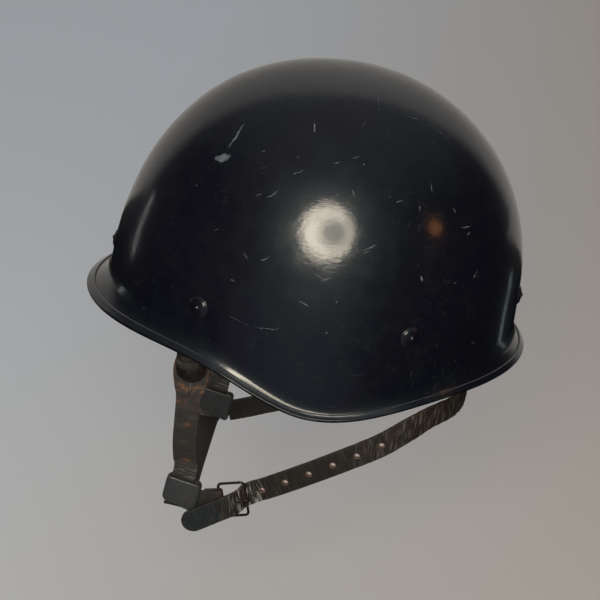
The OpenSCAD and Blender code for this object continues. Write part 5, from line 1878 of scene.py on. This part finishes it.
@dataclass
class Studio:
    """Camera, floor, world and lamps; the camera stands about 1.1 m off the wearer's left."""

    camera_place: Triple = (1018.6, 63.5, 412.3)
    azimuth: float = 94.339
    elevation: float = 23.184
    roll: float = 6.438
    lens: float = 103.886
    floor_level: float = -330.0

    def build_camera(self) -> None:
        """Sets the camera: right, up and back directions from the three angles."""
        a, e, r = (radians(v) for v in (self.azimuth, self.elevation, self.roll))
        back = np.array([sin(a) * cos(e), -cos(a) * cos(e), sin(e)])
        right = unit(np.cross(-back, [0, 0, 1.0]))
        up = np.cross(right, -back)
        right, up = right * cos(r) + up * sin(r), -right * sin(r) + up * cos(r)
        data = bpy.data.cameras.new("camera")
        data.lens, data.sensor_width, data.clip_start, data.clip_end = self.lens, 36.0, 0.05, 50.0
        camera = placed("camera", data)
        camera.matrix_world = world_matrix(right, up, back, np.array(self.camera_place) * METRE)
        bpy.context.scene.camera = camera

    def build_world(self) -> None:
        """A plain pale wall for the eye, and for mirrors a dim room with one pale side.

        Mirrors see the pale wall behind the helmet, which fades out to both sides, and a
        soft ceiling. Matt surfaces get an even fill light.
        """
        world = bpy.data.worlds.new("studio")
        bpy.context.scene.world = world
        add = emptied(world)
        way = add("TexCoord", out="Generated")
        behind = add("VectorMath", {0: way, 1: (-1.0, -0.15, 0.25)}, "Value", operation="DOT_PRODUCT")
        behind = add("MapRange", {0: behind, 1: 0.55, 2: 0.70})
        above = add("MapRange", {0: add("SeparateXYZ", {0: way}, "Z"), 1: 0.45, 2: 0.95})
        room = add("Mix", {0: behind, 6: colour("#050506"), 7: colour("#a09c97")})
        room = add("Mix", {0: above, 6: room, 7: colour("#737373")}, blend_type="ADD")
        mirror = add("Background", {"Color": room, "Strength": 1.0})
        wall = add("Background", {"Color": colour("#a3a09c"), "Strength": 1.0})
        fill = add("Background", {"Color": colour("#d3d5d8"), "Strength": 0.62})
        seen = add("Math", {0: add("LightPath", out="Is Camera Ray"),
                            1: add("LightPath", out="Is Transmission Ray")}, operation="MAXIMUM")
        both = add("MixShader", {0: seen, 1: fill, 2: wall})
        both = add("MixShader", {0: add("LightPath", out="Is Glossy Ray"), 1: both, 2: mirror})
        add("OutputWorld", {"Surface": both})

    def build_floor(self) -> None:
        """A wide pale floor below the helmet: matt paper, dim to mirrors on three sides.

        In the helmet's own reflections it shows pale behind the helmet and with a soft
        glow on the camera's side.
        """
        size, z = 6.0, self.floor_level * METRE
        mesh = bpy.data.meshes.new("floor")
        mesh.from_pydata([(-size, -size, z), (size, -size, z), (size, size, z), (-size, size, z)], [], [(0, 1, 2, 3)])
        material = bpy.data.materials.new("matt_paper_floor")
        add = emptied(material)
        place = add("TexCoord", out="Object")
        along, across = (add("SeparateXYZ", {0: place}, key) for key in ("X", "Y"))
        # The paper turns darker and warmer towards +Y
        warm = add("MapRange", {0: across, 1: -0.35, 2: 0.45})
        tone = add("Mix", {0: warm, 6: colour("#dde1e5"), 7: colour("#cdc1b4")})
        paper = add("BsdfPrincipled", {"Base Color": tone, "Roughness": 0.9})
        # The pale part is a wedge that opens from 0.75 m behind the helmet
        beside = add("Math", {0: across}, operation="ABSOLUTE")
        wedge = add("Math", {0: beside, 1: 0.52, 2: along}, operation="MULTIPLY_ADD")
        behind = add("MapRange", {0: wedge, 1: -0.71, 2: -0.79})
        flat = add("Mapping", {"Vector": place, "Scale": (1.0, 1.0, 0.0)})
        flat = add("VectorMath", {0: flat}, operation="NORMALIZE")
        glow = add("VectorMath", {0: flat, 1: (0.995, -0.1, 0.0)}, "Value", operation="DOT_PRODUCT")
        glow = add("MapRange", {0: glow, 1: 0.80, 2: 1.0})
        seen = add("Mix", {0: glow, 6: colour("#050506"), 7: colour("#61676d")})
        seen = add("Mix", {0: behind, 6: seen, 7: colour("#a09c97")})
        mirrored = add("Emission", {"Color": seen, "Strength": 1.0})
        both = add("MixShader", {0: add("LightPath", out="Is Glossy Ray"), 1: paper, 2: mirrored})
        add("OutputMaterial", {"Surface": both})
        mesh.materials.append(material)
        placed("floor", mesh)

    def lamp(self, name: str, towards: Point, distance: float, size: Pair, radiance: float, tint: str,
             aim: Point) -> bpy.types.Light:
        """Adds an area lamp that looks at the helmet: round if both sizes are equal.

        Its power is the radiance times pi times its area.

        Args:
            name: Name of the lamp.
            towards: Direction from the aim to the lamp.
            distance: Distance in metres.
            size: Width and height in metres.
            radiance: Brightness that a mirror shows.
            tint: Colour.
            aim: Point in metres that it looks at.

        Returns:
            The lamp's data.
        """
        data = bpy.data.lights.new(name, "AREA")
        is_round = size[0] == size[1]
        data.shape = "DISK" if is_round else "RECTANGLE"
        data.size, data.size_y = size
        data.energy = radiance * pi * size[0] * size[1] * (pi / 4 if is_round else 1)
        data.color = colour(tint)[:3]
        lamp = placed(name, data)
        lamp.visible_camera = False
        direction = unit(np.array(towards, float))
        place = np.array(aim) + direction * distance
        right = unit(np.cross([0, 0, 1.0], direction))
        lamp.matrix_world = world_matrix(right, np.cross(direction, right), direction, place)
        return data

    def soften(self, data: bpy.types.Light, spot: Pair, radius: float, depth: float) -> None:
        """Gives a round lamp a soft edge and one dimmer spot.

        The lamp's own coordinates run from 0 to 1 across it. The edge fades where the
        distance from the middle goes from 0.40 to 0.50.

        Args:
            data: The lamp's data.
            spot: Middle of the dim spot.
            radius: Its radius.
            depth: How much light is missing there.
        """
        add = emptied(data)
        place = add("NewGeometry", out="Parametric")
        rim = add("VectorMath", {0: place, 1: (0.5, 0.5, 0.0)}, "Value", operation="DISTANCE")
        rim = add("MapRange", {0: rim, 1: 0.40, 2: 0.50, 3: 1.0, 4: 0.35})
        dim = add("VectorMath", {0: place, 1: (*spot, 0.0)}, "Value", operation="DISTANCE")
        dim = add("MapRange", {0: dim, 1: 0.4 * radius, 2: radius, 3: 1.0 - depth, 4: 1.0})
        both = add("Math", {0: rim, 1: dim}, operation="MULTIPLY")
        add("OutputLight", {"Surface": add("Emission", {"Strength": both})})

    def build_lamps(self) -> None:
        """The round lamp by the camera, a small warm lamp behind, and two thin side panels."""
        round_lamp = self.lamp("round_lamp", (0.936, 0.000, 0.349), 1.45, (0.70, 0.70), 16.8, "#fff1dc",
                               aim=(0.0922, 0.006, 0.0592))
        self.soften(round_lamp, (0.63, 0.50), 0.36, 0.80)
        self.lamp("warm_lamp", (0.449, 0.824, 0.345), 1.5, (0.22, 0.22), 2.2, "#ffa868",
                  aim=(0.0733, 0.0652, 0.0637))
        self.lamp("front_panel", (-0.34, -0.93, -0.09), 0.85, (0.06, 0.26), 1.5, "#d9dcd6", aim=(0.05, -0.111, 0.025))
        self.lamp("back_panel", (-0.63, 0.70, -0.35), 0.5, (0.03, 0.13), 1.0, "#b9d0d0", aim=(0.0365, 0.1148, 0.008))


def main() -> None:
    """Builds the helmet's pieces in order and reports each."""
    logging.basicConfig(level=logging.INFO, format="%(name)s %(message)s")
    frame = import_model()
    nodes = frame["nodes"]
    studio = Studio()
    studio.build_camera()
    studio.build_world()
    studio.build_floor()
    studio.build_lamps()
    enamel = Enamel().material()
    shell = HelmetShell(enamel, Enamel("pooled_black_enamel", gloss=0.04).material(), BarePrimer().material())
    shell.build_shell()
    shell.build_strip()
    shell.build_rivet_heads()
    shell.build_scratches()
    liner = HeadLiner(shell, LinerLeather().material(), WoolFelt().material(), CottonLace().material())
    liner.build_sweatband()
    liner.build_felt()
    liner.build_tongues()
    liner.build_thread()
    liner.build_lace()
    soft = HarnessLeather("softened_tab_leather", "#161514", sheen=0.70, creases=1.6).material()
    for side in Side:
        StrapTab(side=side, hide=soft).build()
    harness = HarnessLeather().material()
    moulded = HarnessLeather("moulded_keeper_leather", "#35383a", "#5a3c28", 0.26, 0.12).material()
    chin = ChinStrap(hide=harness, moulded=moulded)
    chin.build_strap()
    chin.build_keepers()
    waxed = HarnessLeather("waxed_nape_leather", "#211e1a", smooth_end=0.024).material()
    raw = LinerLeather("raw_punched_leather", "#8d6b5c", "#5a4036").material()
    nape = NapeStrap(hide=waxed, raw=raw, tab_hide=harness)
    nape.build_strap()
    nape.build_hole_rims()
    nape.build_buckle_tab()
    dress(nodes, enamel, "shell_rivets")
    dress(nodes, ZINC_STEEL.material(), "rivet_washers", "spacer_bushes", "liner_hoop", "hanger_left", "hanger_right",
          "pivot_rivet_left", "pivot_rivet_right")
    dress(nodes, JAPANNED_WIRE.material(), "buckle_frame", "buckle_prong")
    dress(nodes, COVERED_STUD.material(), "stud_left", "stud_right")
    bpy.context.scene.view_settings.view_transform = "Standard"


if __name__ == "__main__":
    main()
